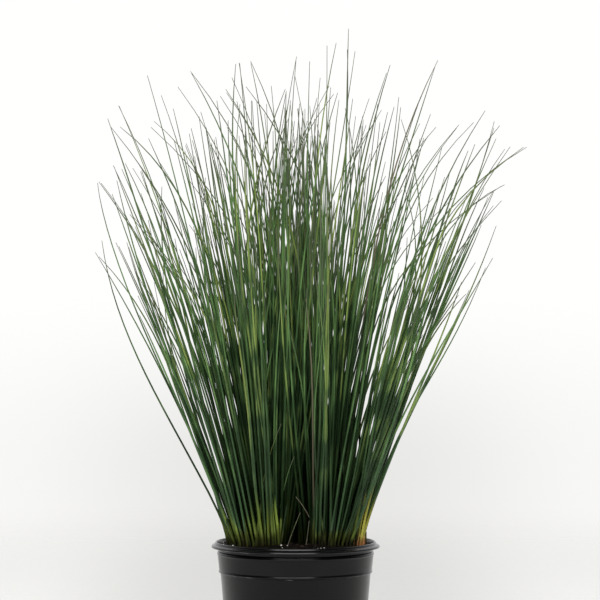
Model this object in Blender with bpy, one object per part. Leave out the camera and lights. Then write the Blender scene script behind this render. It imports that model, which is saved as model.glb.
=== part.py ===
"""A clump of round, upright rush stems growing in a round black nursery pot.

The pot stands on z = 0 with its axis on the z axis, and the clump is seen from -Y with +X to the right.
The plant grows from a bed of small crowns, one for each tuft of stems, which sit on the potting soil.
"""
import math
import random

import bmesh
import bpy
import numpy as np
from mathutils import Matrix, Vector, geometry

# Pot: a moulded nursery pot, 168 mm across the rim
MM = 0.001
POT_HEIGHT = 165 * MM
RIM_RADIUS = 84 * MM
MOUTH_RADIUS = 79 * MM
LIP_DROP = 9 * MM
WALL = 1.5 * MM
COLLAR_RADIUS = 77.6 * MM
COLLAR_DROP = 11.4 * MM
COLLAR_DRAFT = 0.09
STEP_DROP = 30.4 * MM
STEP_DEPTH = 1.3 * MM
BASE_RADIUS = 62.8 * MM
FLOOR_THICKNESS = 2.2 * MM
POT_SEGMENTS = 40
DRAIN_HOLES = 6
DRAIN_RADIUS = 6 * MM
DRAIN_CIRCLE = 47 * MM

# Soil: nearly flush with the rim and slightly mounded
GAP = 0.3 * MM
SOIL_EDGE_DROP = 3.4 * MM
SOIL_MOUND = 2.6 * MM
SOIL_UNEVENNESS = 0.6 * MM
SOIL_RINGS = 5

# Crowns: low lumps on a slightly uneven lattice, each with five stems
CROWN_PITCH = 13.2 * MM
CROWN_SHIFT = 0.6 * MM
CROWN_RADIUS = 5.2 * MM
CROWN_HEIGHT = 1.4 * MM
STEM_CIRCLE = 3.1 * MM
STEMS_PER_TUFT = 5

# Stems: three-sided, thick at the foot and drawn out to a point
STEM_RADIUS = 1.25 * MM
STEM_TAPER = 0.62
RING_PLACES = (0.0, 0.27, 0.53, 0.78)
STEM_CLEARANCE = 0.35 * MM
INNER_LENGTHS = (300 * MM, 475 * MM)
LENGTH_LOST_TO_LEAN = 160 * MM
STEM_SEED = 12

# Choice of a tuft for a leading stem: what each millimetre of miss and each stem already there costs
FOOT_COST = 0.6
TIP_COST = 0.4
CROWDING_COST = 14.0
CHANCE_COST = 6.0

# Spread of the stems, as sideways run over rise: of the leading ones, of the inner ones at the first
# try and what each further try adds, how closely inner stems follow the leading ones, and their bow
LEADING_SPREAD = 0.04
INNER_SPREAD = 0.035
SPREAD_PER_TRY = 0.0015
TRIES = 80
FOLLOWING = 0.5
BOW = (0.10, 0.20)
TIP_SPREAD = 0.04
DEPTH_BOW = 0.2
WIDEST_GAP = 56 * MM
INNER_REACH = 205 * MM

# The three sides of the clump: centre, half sizes, lean of the middle and how far the edges fan out
CLUMPS = {
    "left": {"centre": (-34.5, -2.0), "half": (30.0, 29.0), "lean": (-0.12, 0.00), "fan": (0.32, 0.30)},
    "right": {"centre": (34.0, -2.0), "half": (29.0, 29.0), "lean": (0.14, 0.00), "fan": (0.28, 0.30)},
    "back": {"centre": (0.0, 31.0), "half": (31.0, 26.0), "lean": (0.00, 0.14), "fan": (0.30, 0.15)},
}
SHEATHED_TUFT = (64.0, -14.0)
LEAN_LIMIT = 0.36

# Stems that make the outline from the front: foot x, lean at the foot, lean at the tip, tip x and
# tip height over the rim, in millimetres, with a lean as sideways run over rise
LEADING_STEMS = (
    (-66, -0.48, -0.30, -194, 299), (-60, -0.38, -1.00, -205, 283), (-62, -0.40, -0.22, -196, 356),
    (-52, -0.30, -0.75, -194, 357), (-56, -0.38, -0.50, -163, 371), (-38, -0.20, -0.80, -160, 323),
    (-50, -0.25, -0.42, -178, 435), (-58, -0.30, -0.35, -180, 414), (-40, -0.20, -0.28, -139, 451),
    (-44, -0.22, -0.25, -130, 443), (-20, -0.06, -1.10, -149, 418), (-34, -0.15, -0.42, -109, 395),
    (-36, -0.18, -0.15, -104, 403), (6, 0.00, -0.56, -107, 473), (-28, -0.12, -0.27, -90, 411),
    (-14, -0.12, -0.15, -83, 409), (0, -0.05, -0.55, -73, 420), (14, 0.00, -0.72, -69, 447),
    (10, -0.04, -0.45, -64, 461), (-26, -0.03, -0.12, -56, 478), (-50, -0.03, 0.10, -57, 464),
    (30, -0.05, -0.22, -45, 478), (-20, 0.02, -0.10, -27, 449), (-52, 0.02, 0.20, -10, 457),
    (-14, 0.00, -0.03, -12, 443), (-18, 0.01, 0.10, 0, 483), (12, 0.00, 0.03, 15, 471),
    (-8, 0.04, 0.10, 22, 465), (-44, 0.03, 0.80, 37, 453), (34, -0.02, 0.00, 30, 483),
    (20, 0.02, 0.14, 45, 448), (-24, 0.05, 0.32, 42, 441), (34, 0.04, 0.03, 53, 512),
    (44, 0.03, -0.04, 51, 492), (22, 0.02, 0.16, 60, 491), (54, 0.08, -0.22, 52, 444),
    (30, 0.04, 0.36, 75, 446), (24, 0.06, 0.32, 91, 466), (8, 0.03, 0.75, 86, 430),
    (54, 0.08, 0.08, 98, 433), (50, 0.12, 0.10, 106, 435), (20, 0.16, 0.33, 145, 483),
    (50, 0.14, 0.40, 138, 430), (16, 0.10, 0.60, 139, 412), (38, 0.14, 0.90, 160, 412),
    (32, 0.20, 0.65, 180, 420), (56, 0.30, 0.25, 198, 418), (48, 0.22, 1.50, 235, 395),
    (60, 0.28, 0.70, 210, 390), (52, 0.22, 1.60, 207, 355), (56, 0.30, 0.95, 199, 336),
    (66, 0.28, 0.46, 200, 315), (66, 0.28, 0.55, 192, 281), (62, 0.20, 0.40, 172, 390),
    (66, 0.30, -0.35, 109, 355), (58, 0.20, 0.20, 150, 364),
)


def clear_scene():
    for old in list(bpy.data.objects):
        bpy.data.objects.remove(old, do_unlink=True)


def make_material(name, colour, roughness):
    material = bpy.data.materials.new(name)
    material.use_nodes = True
    shader = material.node_tree.nodes["Principled BSDF"]
    shader.inputs["Base Color"].default_value = (*colour, 1.0)
    shader.inputs["Roughness"].default_value = roughness
    shader.inputs["Metallic"].default_value = 0.0
    material.diffuse_color = (*colour, 1.0)
    return material


def add_object(name, bm, material, smooth_angle=None):
    mesh = bpy.data.meshes.new(name)
    bm.normal_update()
    bm.to_mesh(mesh)
    bm.free()
    mesh.materials.append(material)
    if smooth_angle is not None:
        mesh.shade_smooth()
        mesh.set_sharp_from_angle(angle=math.radians(smooth_angle))
    item = bpy.data.objects.new(name, mesh)
    bpy.context.scene.collection.objects.link(item)
    return item


def turned(profile, segments):
    """A closed body turned round the z axis from (radius, height) points that run anticlockwise.

    The first and last points lie on the axis.
    """
    bm = bmesh.new()
    first = bm.verts.new((0, 0, profile[0][1]))
    last = bm.verts.new((0, 0, profile[-1][1]))
    rings = []
    for radius, height in profile[1:-1]:
        ring = []
        for step in range(segments):
            angle = math.tau * step / segments
            ring.append(bm.verts.new((radius * math.cos(angle), radius * math.sin(angle), height)))
        rings.append(ring)
    for step in range(segments):
        after = (step + 1) % segments
        bm.faces.new((first, rings[0][after], rings[0][step]))
        bm.faces.new((last, rings[-1][step], rings[-1][after]))
        for lower, upper in zip(rings, rings[1:]):
            bm.faces.new((lower[step], lower[after], upper[after], upper[step]))
    return bm


def mouth_points():
    """The inner face of the pot, from the floor to the crest, as (radius, height)."""
    collar_foot = COLLAR_RADIUS - (STEP_DROP - COLLAR_DROP) * COLLAR_DRAFT
    return [
        (BASE_RADIUS - 1.2 * WALL, FLOOR_THICKNESS),
        (BASE_RADIUS - 0.4 * WALL, FLOOR_THICKNESS + 2.4 * MM),
        (collar_foot - STEP_DEPTH - WALL, POT_HEIGHT - STEP_DROP - 2 * MM),
        (collar_foot - WALL, POT_HEIGHT - STEP_DROP),
        (COLLAR_RADIUS - 1.35 * WALL, POT_HEIGHT - COLLAR_DROP),
        (MOUTH_RADIUS, POT_HEIGHT - 2.2 * MM),
        (MOUTH_RADIUS + 0.8 * MM, POT_HEIGHT - 0.5 * MM),
    ]


def pot_profile():
    """The section of the pot: base, tapered wall, step, collar, rolled lip and inner face."""
    collar_foot = COLLAR_RADIUS - (STEP_DROP - COLLAR_DROP) * COLLAR_DRAFT
    outer = [
        (0.0, 0.0),
        (BASE_RADIUS - 1.0 * MM, 0.0),
        (BASE_RADIUS, 0.8 * MM),
        (BASE_RADIUS + 0.8 * MM, 4.0 * MM),
        (collar_foot - STEP_DEPTH, POT_HEIGHT - STEP_DROP - 1.4 * MM),
        (collar_foot, POT_HEIGHT - STEP_DROP),
        (COLLAR_RADIUS, POT_HEIGHT - COLLAR_DROP),
        (COLLAR_RADIUS - 0.5 * MM, POT_HEIGHT - COLLAR_DROP + 1.2 * MM),
    ]
    lip_bottom = POT_HEIGHT - LIP_DROP
    lip = [
        (RIM_RADIUS - 3.9 * MM, POT_HEIGHT - 3.2 * MM),
        (RIM_RADIUS - 1.7 * MM, POT_HEIGHT - 3.4 * MM),
        (RIM_RADIUS - 1.6 * MM, lip_bottom + 0.6 * MM),
        (RIM_RADIUS - 0.8 * MM, lip_bottom),
        (RIM_RADIUS, lip_bottom + 1.0 * MM),
        (RIM_RADIUS, POT_HEIGHT - 2.8 * MM),
        (RIM_RADIUS - 0.8 * MM, POT_HEIGHT - 0.8 * MM),
        (RIM_RADIUS - 2.6 * MM, POT_HEIGHT),
    ]
    return outer + lip + list(reversed(mouth_points())) + [(0.0, FLOOR_THICKNESS)]


def build_pot():
    material = make_material("black_plastic", (0.012, 0.012, 0.013), 0.4)
    pot = add_object("pot", turned(pot_profile(), POT_SEGMENTS), material, 38)
    bm = bmesh.new()
    for index in range(DRAIN_HOLES):
        angle = math.tau * (index + 0.5) / DRAIN_HOLES
        place = Vector((DRAIN_CIRCLE * math.cos(angle), DRAIN_CIRCLE * math.sin(angle), FLOOR_THICKNESS / 2))
        bmesh.ops.create_cone(
            bm,
            cap_ends=True,
            segments=10,
            radius1=DRAIN_RADIUS,
            radius2=DRAIN_RADIUS,
            depth=3 * FLOOR_THICKNESS,
            matrix=Matrix.Translation(place),
        )
    drills = add_object("drain_drills", bm, material)
    drills.display_type = "WIRE"
    drills.hide_render = True
    cut = pot.modifiers.new("drain_holes", "BOOLEAN")
    cut.operation = "DIFFERENCE"
    cut.solver = "EXACT"
    cut.object = drills
    return pot


def soil_height(x, y):
    """Height of the smooth soil mound; the uneven surface never rises over it."""
    far = (x * x + y * y) / (MOUTH_RADIUS * MOUTH_RADIUS)
    return POT_HEIGHT - SOIL_EDGE_DROP + SOIL_MOUND * max(0.0, 1.0 - far)


def build_soil():
    """The root ball and potting soil that fill the pot."""
    rng = random.Random(5)
    edge_height = POT_HEIGHT - SOIL_EDGE_DROP
    inner = mouth_points()
    side = [(radius - 1.2 * GAP, height) for radius, height in inner[1:5]]
    low, high = inner[4], inner[5]
    share = (edge_height - low[1]) / (high[1] - low[1])
    edge_radius = low[0] + share * (high[0] - low[0]) - 1.2 * GAP
    floor = FLOOR_THICKNESS + GAP
    profile = [(0.0, floor), (inner[0][0] - 2 * GAP, floor)] + side + [(edge_radius, edge_height)]
    for ring in range(SOIL_RINGS - 1, 0, -1):
        radius = edge_radius * ring / SOIL_RINGS
        profile.append((radius, soil_height(radius, 0.0)))
    profile.append((0.0, soil_height(0.0, 0.0)))
    bm = turned(profile, POT_SEGMENTS)
    for vertex in bm.verts:
        far = math.hypot(vertex.co.x, vertex.co.y)
        if vertex.co.z > edge_height + 0.1 * MM and far > 1 * MM:
            vertex.co.z -= rng.uniform(0.0, SOIL_UNEVENNESS)
    material = make_material("potting_soil", (0.022, 0.016, 0.012), 0.95)
    return add_object("soil", bm, material)


def nearest_clump(x, y):
    """Name of the side that a place belongs to, or None between and outside the sides."""
    best = None
    for name, side in CLUMPS.items():
        across = (x / MM - side["centre"][0]) / side["half"][0]
        deep = (y / MM - side["centre"][1]) / side["half"][1]
        far = math.hypot(across, deep)
        if far <= 1.0 and (best is None or far < best[0]):
            best = (far, name)
    return best and best[1]


def crown_places(rng):
    """Crown centres on a staggered lattice that fills the sides of the clump."""
    sheathed = {"side": "right", "x": SHEATHED_TUFT[0] * MM, "y": SHEATHED_TUFT[1] * MM, "sheathed": True}
    places = []
    row_pitch = CROWN_PITCH * math.sqrt(3) / 2
    for row in range(-7, 8):
        for column in range(-7, 8):
            x = (column + 0.5 * (row % 2)) * CROWN_PITCH
            y = row * row_pitch
            side = nearest_clump(x, y)
            if side is None:
                continue
            x += rng.uniform(-CROWN_SHIFT, CROWN_SHIFT)
            y += rng.uniform(-CROWN_SHIFT, CROWN_SHIFT)
            if math.hypot(x - sheathed["x"], y - sheathed["y"]) > 2 * CROWN_RADIUS + 2 * GAP:
                places.append({"side": side, "x": x, "y": y})
    places.append(sheathed)
    return places


def stem_axis(foot, tip, foot_lean, tip_lean):
    """Control points of the curve that a stem follows from its foot to its tip."""
    rise = (tip.z - foot.z) / 3
    low = foot + Vector((foot_lean[0], foot_lean[1], 1.0)) * rise
    high = tip - Vector((tip_lean[0], tip_lean[1], 1.0)) * rise
    return (foot, low, high, tip)


def axis_point(axis, place):
    back = 1.0 - place
    foot, low, high, tip = axis
    return (
        foot * back ** 3
        + low * (3 * back * back * place)
        + high * (3 * back * place * place)
        + tip * place ** 3
    )


def axis_direction(axis, place):
    back = 1.0 - place
    foot, low, high, tip = axis
    slope = (low - foot) * (back * back) + (high - low) * (2 * back * place) + (tip - high) * (place * place)
    return slope.normalized()


def side_lean(side, x, y, rng=None, spread=0.0):
    """Lean of a stem, as sideways run over rise, from where its foot is on its side of the clump."""
    lean = []
    for axis, place in enumerate((x, y)):
        out = (place / MM - side["centre"][axis]) / side["half"][axis]
        value = side["lean"][axis] + side["fan"][axis] * out
        if rng:
            value += rng.gauss(0.0, spread)
        lean.append(max(-LEAN_LIMIT, min(LEAN_LIMIT, value)))
    return lean


def stem_points(axis):
    places = RING_PLACES + (1.0,)
    return np.array([axis_point(axis, place)[:] for place in places])


def segment_gap(p, q, r, s):
    """Least distance from the segment p-q to each of the segments r-s."""
    d1 = q - p
    d2 = s - r
    offset = p - r
    a = d1 @ d1
    e = np.einsum("ij,ij->i", d2, d2)
    f = np.einsum("ij,ij->i", d2, offset)
    c = offset @ d1
    b = d2 @ d1
    denominator = np.maximum(a * e - b * b, 1e-18)
    along = np.clip((b * f - c * e) / denominator, 0.0, 1.0)
    other = np.clip((b * along + f) / e, 0.0, 1.0)
    along = np.clip((b * other - c) / a, 0.0, 1.0)
    apart = offset + np.outer(along, d1) - d2 * other[:, None]
    return np.sqrt(np.einsum("ij,ij->i", apart, apart)).min()


def is_clear(points, grown):
    """True if a stem keeps clear of all the stems grown before it."""
    if not grown:
        return True
    starts = np.concatenate([other[:-1] for other in grown])
    ends = np.concatenate([other[1:] for other in grown])
    room = 2 * STEM_RADIUS + STEM_CLEARANCE
    for start, end in zip(points, points[1:]):
        if segment_gap(start, end, starts, ends) < room:
            return False
    return True


def keeps_together(axis, stems):
    """True if a stem's tip stays near another stem of its tuft and inside the outline of the clump."""
    tip = axis[3]
    if abs(tip.x) > INNER_REACH:
        return False
    for other in stems:
        share = (tip.z - other[0].z) / (other[3].z - other[0].z)
        if (axis_point(other, min(1.0, share)) - tip).length < WIDEST_GAP:
            return True
    return not stems


def make_tufts(rng):
    """Crowns with the places of their stems, empty at first."""
    tufts = []
    for place in crown_places(rng):
        x, y = place["x"], place["y"]
        reach = max(0.0, 1.0 - CROWN_RADIUS / max(math.hypot(x, y), CROWN_RADIUS))
        place["bottom"] = soil_height(x * reach, y * reach) + GAP
        place["top"] = place["bottom"] + CROWN_HEIGHT
        place["turn"] = rng.uniform(0.0, math.tau)
        place["stems"] = []
        place["slots"] = []
        for index in range(STEMS_PER_TUFT):
            angle = place["turn"] + math.tau * index / STEMS_PER_TUFT
            aside = STEM_CIRCLE * math.cos(angle)
            behind = STEM_CIRCLE * math.sin(angle)
            place["slots"].append(Vector((x + aside, y + behind, place["top"])))
        tufts.append(place)
    return tufts


def grow_leading_stems(tufts, grown, rng):
    """Each leading stem joins the tuft that stands nearest its foot and leans its way."""
    for foot_x, foot_lean, tip_lean, tip_x, tip_height in LEADING_STEMS:
        choices = []
        for order, tuft in enumerate(tufts):
            lean = side_lean(CLUMPS[tuft["side"]], tuft["x"], tuft["y"])
            rise = tip_height * MM + POT_HEIGHT - tuft["top"]
            foot_miss = abs(tuft["x"] / MM - foot_x)
            tip_miss = abs((tuft["x"] + lean[0] * rise) / MM - tip_x)
            crowding = CROWDING_COST * len(tuft["stems"]) + rng.uniform(0.0, CHANCE_COST)
            choices.append((FOOT_COST * foot_miss + TIP_COST * tip_miss + crowding, order))
        for cost, order in sorted(choices):
            tuft = tufts[order]
            if grow_to_tip(tuft, (foot_lean, tip_lean, tip_x, tip_height), grown, rng):
                break


def grow_to_tip(tuft, shape, grown, rng):
    """Grow one leading stem from a free place of a tuft, or return False if others are in its way."""
    foot_lean, tip_lean, tip_x, tip_height = shape
    for slot in tuft["slots"]:
        deep = side_lean(CLUMPS[tuft["side"]], slot.x, slot.y, rng, LEADING_SPREAD)[1]
        height = POT_HEIGHT + tip_height * MM
        tip = Vector((tip_x * MM, slot.y + deep * (height - slot.z), height))
        foot_slope = (foot_lean, (1 - DEPTH_BOW) * deep)
        tip_slope = (tip_lean, (1 + DEPTH_BOW) * deep)
        axis = stem_axis(slot, tip, foot_slope, tip_slope)
        points = stem_points(axis)
        if is_clear(points, grown):
            grown.append(points)
            tuft["stems"].append(axis)
            tuft["slots"].remove(slot)
            return True
    return False


def grow_inner_stems(tufts, grown, rng):
    """Fill the free places of each tuft with stems that keep together with its leading ones."""
    for tuft in tufts:
        side = CLUMPS[tuft["side"]]
        leaders = [(axis[3].x - axis[0].x) / (axis[3].z - axis[0].z) for axis in tuft["stems"]]
        for slot in tuft["slots"]:
            for attempt in range(TRIES):
                spread = INNER_SPREAD + SPREAD_PER_TRY * attempt
                lean = side_lean(side, slot.x, slot.y, rng, spread)
                if leaders:
                    lean[0] += FOLLOWING * (sum(leaders) / len(leaders) - lean[0])
                slant = math.hypot(*lean)
                length = rng.uniform(*INNER_LENGTHS) - LENGTH_LOST_TO_LEAN * slant
                rise = length / math.sqrt(1 + slant * slant)
                bow = rng.gauss(*BOW)
                tip = slot + Vector((lean[0] * rise, lean[1] * rise, rise))
                foot_lean = (lean[0] * (1 - bow), lean[1] * (1 - bow))
                tip_lean = (lean[0] * (1 + bow) + rng.gauss(0, TIP_SPREAD), lean[1] * (1 + bow))
                axis = stem_axis(slot, tip, foot_lean, tip_lean)
                points = stem_points(axis)
                if keeps_together(axis, tuft["stems"]) and is_clear(points, grown):
                    grown.append(points)
                    tuft["stems"].append(axis)
                    break


def stem_ring(axis, place):
    """The three corners of a stem at a place along it; the foot is level so that it meets its crown."""
    centre = axis_point(axis, place)
    direction = Vector((0, 0, 1)) if place == 0.0 else axis_direction(axis, place)
    radius = STEM_RADIUS * (1.0 - STEM_TAPER * place)
    along = Vector((1, 0, 0))
    along = (along - direction * along.dot(direction)).normalized()
    across = direction.cross(along)
    corners = []
    for index in range(3):
        angle = math.tau * (index + 0.25) / 3
        corners.append(centre + (along * math.cos(angle) + across * math.sin(angle)) * radius)
    return corners


def build_tuft(name, tuft, material):
    """One crown with its stems grown out of its top as a single body."""
    bm = bmesh.new()
    centre = Vector((tuft["x"], tuft["y"]))
    outline = []
    for index in range(6):
        angle = tuft["turn"] + math.tau * (index + 0.5) / 6
        outline.append(centre + Vector((math.cos(angle), math.sin(angle))) * CROWN_RADIUS)
    flat = list(outline)
    loops = [list(range(6))]
    feet = []
    for axis in tuft["stems"]:
        first = len(flat)
        flat.extend(corner.to_2d() for corner in stem_ring(axis, 0.0))
        feet.append([first, first + 1, first + 2])
    loops.extend(feet)
    places, _, faces, sources, _, owners = geometry.delaunay_2d_cdt(flat, [], loops, 1, 1e-7)
    top = [bm.verts.new((place.x, place.y, tuft["top"])) for place in places]
    vertex_of = {}
    for vertex, source in zip(top, sources):
        for index in source:
            vertex_of[index] = vertex
    for face, owner in zip(faces, owners):
        if max(owner) == 0:
            bm.faces.new([top[index] for index in face])
    lower = [bm.verts.new((place.x, place.y, tuft["bottom"])) for place in outline]
    bm.faces.new(list(reversed(lower)))
    for index in range(6):
        after = (index + 1) % 6
        bm.faces.new((lower[index], lower[after], vertex_of[after], vertex_of[index]))
    for axis, foot in zip(tuft["stems"], feet):
        ring = [vertex_of[index] for index in foot]
        for place in RING_PLACES[1:]:
            above = [bm.verts.new(corner) for corner in stem_ring(axis, place)]
            for index in range(3):
                after = (index + 1) % 3
                bm.faces.new((ring[index], ring[after], above[after], above[index]))
            ring = above
        point = bm.verts.new(axis[-1])
        for index in range(3):
            bm.faces.new((ring[index], ring[(index + 1) % 3], point))
    bmesh.ops.triangulate(bm, faces=bm.faces[:])
    return add_object(name, bm, material, 80)


def build_tufts():
    rng = random.Random(STEM_SEED)
    tufts = make_tufts(rng)
    grown = []
    grow_leading_stems(tufts, grown, rng)
    grow_inner_stems(tufts, grown, rng)
    counts = {}
    for tuft in tufts:
        if tuft.get("sheathed"):
            name = "sheathed_tuft"
            material = make_material(name, (0.16, 0.19, 0.05), 0.5)
        else:
            side = tuft["side"]
            counts[side] = counts.get(side, 0) + 1
            name = f"{side}_tuft_{counts[side]:02d}"
            shade = rng.uniform(0.85, 1.15)
            material = make_material(name, (0.045 * shade, 0.105 * shade, 0.045 * shade), 0.5)
        build_tuft(name, tuft, material)


def main():
    clear_scene()
    build_pot()
    build_soil()
    build_tufts()


main()
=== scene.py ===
"""Looks of a clump of rush stems in a black nursery pot, laid out as an add-on and run as a script."""
import math
import random

import bmesh
import bpy
from bpy.props import FloatProperty, FloatVectorProperty, IntProperty, PointerProperty
from bpy.types import Operator, Panel, PropertyGroup
from mathutils import Matrix, Vector, noise


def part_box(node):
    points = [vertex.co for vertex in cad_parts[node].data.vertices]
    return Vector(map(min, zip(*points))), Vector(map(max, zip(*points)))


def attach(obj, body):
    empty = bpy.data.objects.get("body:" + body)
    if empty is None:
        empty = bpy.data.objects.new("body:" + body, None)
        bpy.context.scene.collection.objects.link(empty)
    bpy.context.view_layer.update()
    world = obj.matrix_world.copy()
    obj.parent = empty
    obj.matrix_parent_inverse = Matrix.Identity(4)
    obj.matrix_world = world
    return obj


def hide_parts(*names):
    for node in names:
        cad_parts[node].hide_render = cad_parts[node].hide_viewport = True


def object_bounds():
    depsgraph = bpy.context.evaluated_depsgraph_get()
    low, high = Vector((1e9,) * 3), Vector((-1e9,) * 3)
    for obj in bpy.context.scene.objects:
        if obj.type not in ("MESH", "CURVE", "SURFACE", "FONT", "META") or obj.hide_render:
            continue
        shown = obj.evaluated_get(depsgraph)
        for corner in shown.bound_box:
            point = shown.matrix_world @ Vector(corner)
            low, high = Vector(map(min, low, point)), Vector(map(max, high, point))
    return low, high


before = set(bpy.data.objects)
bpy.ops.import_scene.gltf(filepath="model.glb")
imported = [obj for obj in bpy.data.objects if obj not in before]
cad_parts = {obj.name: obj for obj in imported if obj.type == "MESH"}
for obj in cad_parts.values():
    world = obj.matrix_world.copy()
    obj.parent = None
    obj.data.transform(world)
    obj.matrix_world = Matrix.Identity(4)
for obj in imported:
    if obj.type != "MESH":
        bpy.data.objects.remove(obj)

bl_info = {
    "name": "Potted rush clump",
    "version": (1, 0, 0),
    "blender": (4, 5, 0),
    "location": "3D View > Sidebar > Rush Pot",
    "description": "Builds a clump of round rush stems in a nursery pot, piece by piece",
    "category": "Object",
}

CAD_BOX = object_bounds()
MM = 0.001
BODY = "root"

# What the frame says about the pot, the soil and the stems
POT_LOW, POT_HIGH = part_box("pot")
SOIL_LOW, SOIL_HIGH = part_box("soil")
SIDES = ("left", "right", "back")
SHEATHED_NODE = "sheathed_tuft"
RING_PLACES = (0.0, 0.27, 0.53, 0.78)

# The dark gap at the front between the left and the right side, and the outline of all the feet
GAP_MIDDLE = 2 * MM
GAP_HALF = 11 * MM
GAP_BACK = 8 * MM
SIDE_CENTRES = {"left": (-34 * MM, -1 * MM), "right": (34 * MM, -1 * MM), "back": (0 * MM, 31 * MM)}
SIDE_YELLOW = {"left": 0.5, "right": -0.15, "back": 0.0}
# Painted shade that each side adds to the depth of its stems: the right and the back side are darker
SIDE_PAINTED_SHADE = {"left": 0.0, "right": 0.22, "back": 0.3}

# Thin dead or broken stems at the front: age (1 is straw), radius and the points of the curve in mm
DEAD_STEMS = (
    (1.0, 0.6, ((21, -8, 163), (18, -20, 185), (10, -28, 200), (0.4, -30, 211))),
    (0.86, 0.5, ((-7.6, -24, 163), (-4, -25, 174), (0, -26, 184), (4.4, -26, 195))),
    (0.86, 0.5, ((10.4, -24, 163), (11.5, -25, 170), (12.5, -25, 178), (13.4, -25, 187))),
    (0.3, 0.55, ((-40, 5, 163), (-38, -6, 205), (-29, -40, 250), (-14, -54, 284))),
    (0.3, 0.55, ((-20, 5, 163), (-17, -4, 195), (-11, -30, 228), (-1.6, -40, 251))),
)

# Long arching stems that stand out in the outline: side, how many like stems keep it company, foot
# (x, y), and the places (x, z) that it passes at one third, at two thirds and at its tip, in mm
ARCHING_STEMS = (
    ("left", 0, (-64, -8), (-110, 262), (-161, 360), (-194, 464)),
    ("left", 0, (-60, -18), (-99, 263), (-146, 360), (-198, 452)),
    ("left", 1, (-60, -10), (-105, 280), (-162, 415), (-196, 521)),
    ("left", 1, (-56, -14), (-83, 305), (-135, 428), (-195, 522)),
    ("left", 2, (-50, 5), (-79, 310), (-119, 455), (-177, 599)),
    ("left", 1, (-33, -20), (-59, 325), (-96, 470), (-173, 576)),
    ("left", 1, (-27, -15), (-49, 355), (-79, 492), (-140, 582)),
    ("left", 2, (-43, 0), (-67, 330), (-95, 476), (-135, 609)),
    ("left", 1, (-52, 10), (-76, 289), (-105, 413), (-163, 537)),
    ("left", 4, (-48, -12), (-71, 290), (-97, 415), (-155, 539)),
    ("left", 2, (-45, -22), (-66, 275), (-91, 380), (-161, 488)),
    ("left", 2, (-33, -8), (-43, 310), (-61, 450), (-95, 592)),
    ("left", 1, (-14, -10), (-12, 318), (-25, 474), (-103, 632)),
    ("left", 2, (-25, -5), (-29, 320), (-38, 480), (-56, 641)),
    ("left", 1, (-55, 0), (-55, 313), (-48, 465), (-11, 615)),
    ("left", 2, (-27, 5), (-25, 323), (-20, 485), (1, 648)),
    ("left", 1, (-39, -5), (-33, 313), (-20, 465), (36, 618)),
    ("right", 1, (16, 5), (12, 315), (-1, 462), (-69, 612)),
    ("right", 1, (24, 0), (19, 321), (6, 482), (-45, 643)),
    ("right", 2, (32, -10), (30, 315), (22, 471), (0, 627)),
    ("right", 2, (36, 10), (41, 317), (53, 474), (91, 632)),
    ("right", 1, (15, -5), (16, 305), (29, 450), (86, 594)),
    ("right", 2, (46, 5), (53, 305), (70, 453), (99, 598)),
    ("right", 1, (46, -10), (59, 320), (85, 484), (141, 643)),
    ("right", 1, (56, -5), (91, 305), (135, 450), (230, 557)),
    ("right", 2, (60, 8), (111, 305), (159, 453), (198, 577)),
    ("right", 1, (42, -15), (66, 310), (98, 455), (177, 581)),
    ("right", 1, (30, 10), (56, 310), (93, 453), (161, 577)),
    ("right", 1, (37, -20), (49, 305), (71, 450), (139, 576)),
    ("right", 0, (64, 15), (109, 305), (130, 445), (107, 586)),
    ("right", 2, (58, -12), (96, 307), (136, 450), (171, 553)),
    ("right", 2, (56, 12), (84, 290), (116, 415), (149, 528)),
    ("right", 0, (62, 0), (110, 284), (156, 376), (200, 479)),
    ("right", 0, (60, -10), (107, 275), (146, 346), (188, 437)),
    ("right", 0, (61, 10), (95, 265), (124, 345), (171, 411)),
    ("right", 0, (56, -18), (90, 305), (129, 435), (207, 519)),
    ("right", 0, (61, 5), (105, 295), (145, 410), (197, 499)),
    ("right", 1, (61, -4), (106, 305), (150, 440), (209, 555)),
    ("right", 2, (59, 14), (106, 300), (149, 420), (191, 517)),
)

# Outline of the dense part of the clump: height and distance from the axis on either side, in mm
CLUMP_EDGES = {
    "left": (
        (163, 66), (197, 75), (222, 83), (255, 98), (288, 112), (322, 126), (359, 140), (387, 152), (415, 171),
        (440, 190), (465, 204), (700, 206),
    ),
    "right": (
        (163, 74), (206, 82), (253, 97), (284, 110), (321, 121), (344, 129), (365, 137), (383, 144), (405, 152),
        (437, 176), (465, 196), (500, 210), (545, 231), (700, 232),
    ),
}

# Middle and half size of the bed of feet
BED_MIDDLE = (0 * MM, 9 * MM)
BED_HALF = (66 * MM, 46 * MM)


class PotSettings(PropertyGroup):
    rim_radius: FloatProperty(
        name="Rim Radius",
        description="Outer radius of the rolled lip",
        default=POT_HIGH.x,
        subtype="DISTANCE",
        unit="LENGTH",
    )
    height: FloatProperty(
        name="Height",
        description="From the surface that the pot stands on to the crest of the lip",
        default=POT_HIGH.z,
        subtype="DISTANCE",
        unit="LENGTH",
    )
    segments: IntProperty(
        name="Segments",
        description="Faces round the pot",
        default=168,
        min=24,
    )
    drain_holes: IntProperty(
        name="Drain Holes",
        description="Round holes in the floor of the pot",
        default=6,
        min=0,
    )
    plastic: FloatVectorProperty(
        name="Plastic",
        description="Colour of the moulded plastic",
        default=(0.0018, 0.0018, 0.0020),
        subtype="COLOR",
        size=3,
        min=0.0,
        max=1.0,
    )
    # Lightens the convex edges as painted highlight lines that also stand for wear, and colours the dust specks
    scuffs_and_painted_highlights: FloatVectorProperty(
        name="Scuffs and Painted Highlights",
        description="Colour of worn edges and fine scuffs",
        default=(0.13, 0.13, 0.132),
        subtype="COLOR",
        size=3,
        min=0.0,
        max=1.0,
    )


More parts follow.
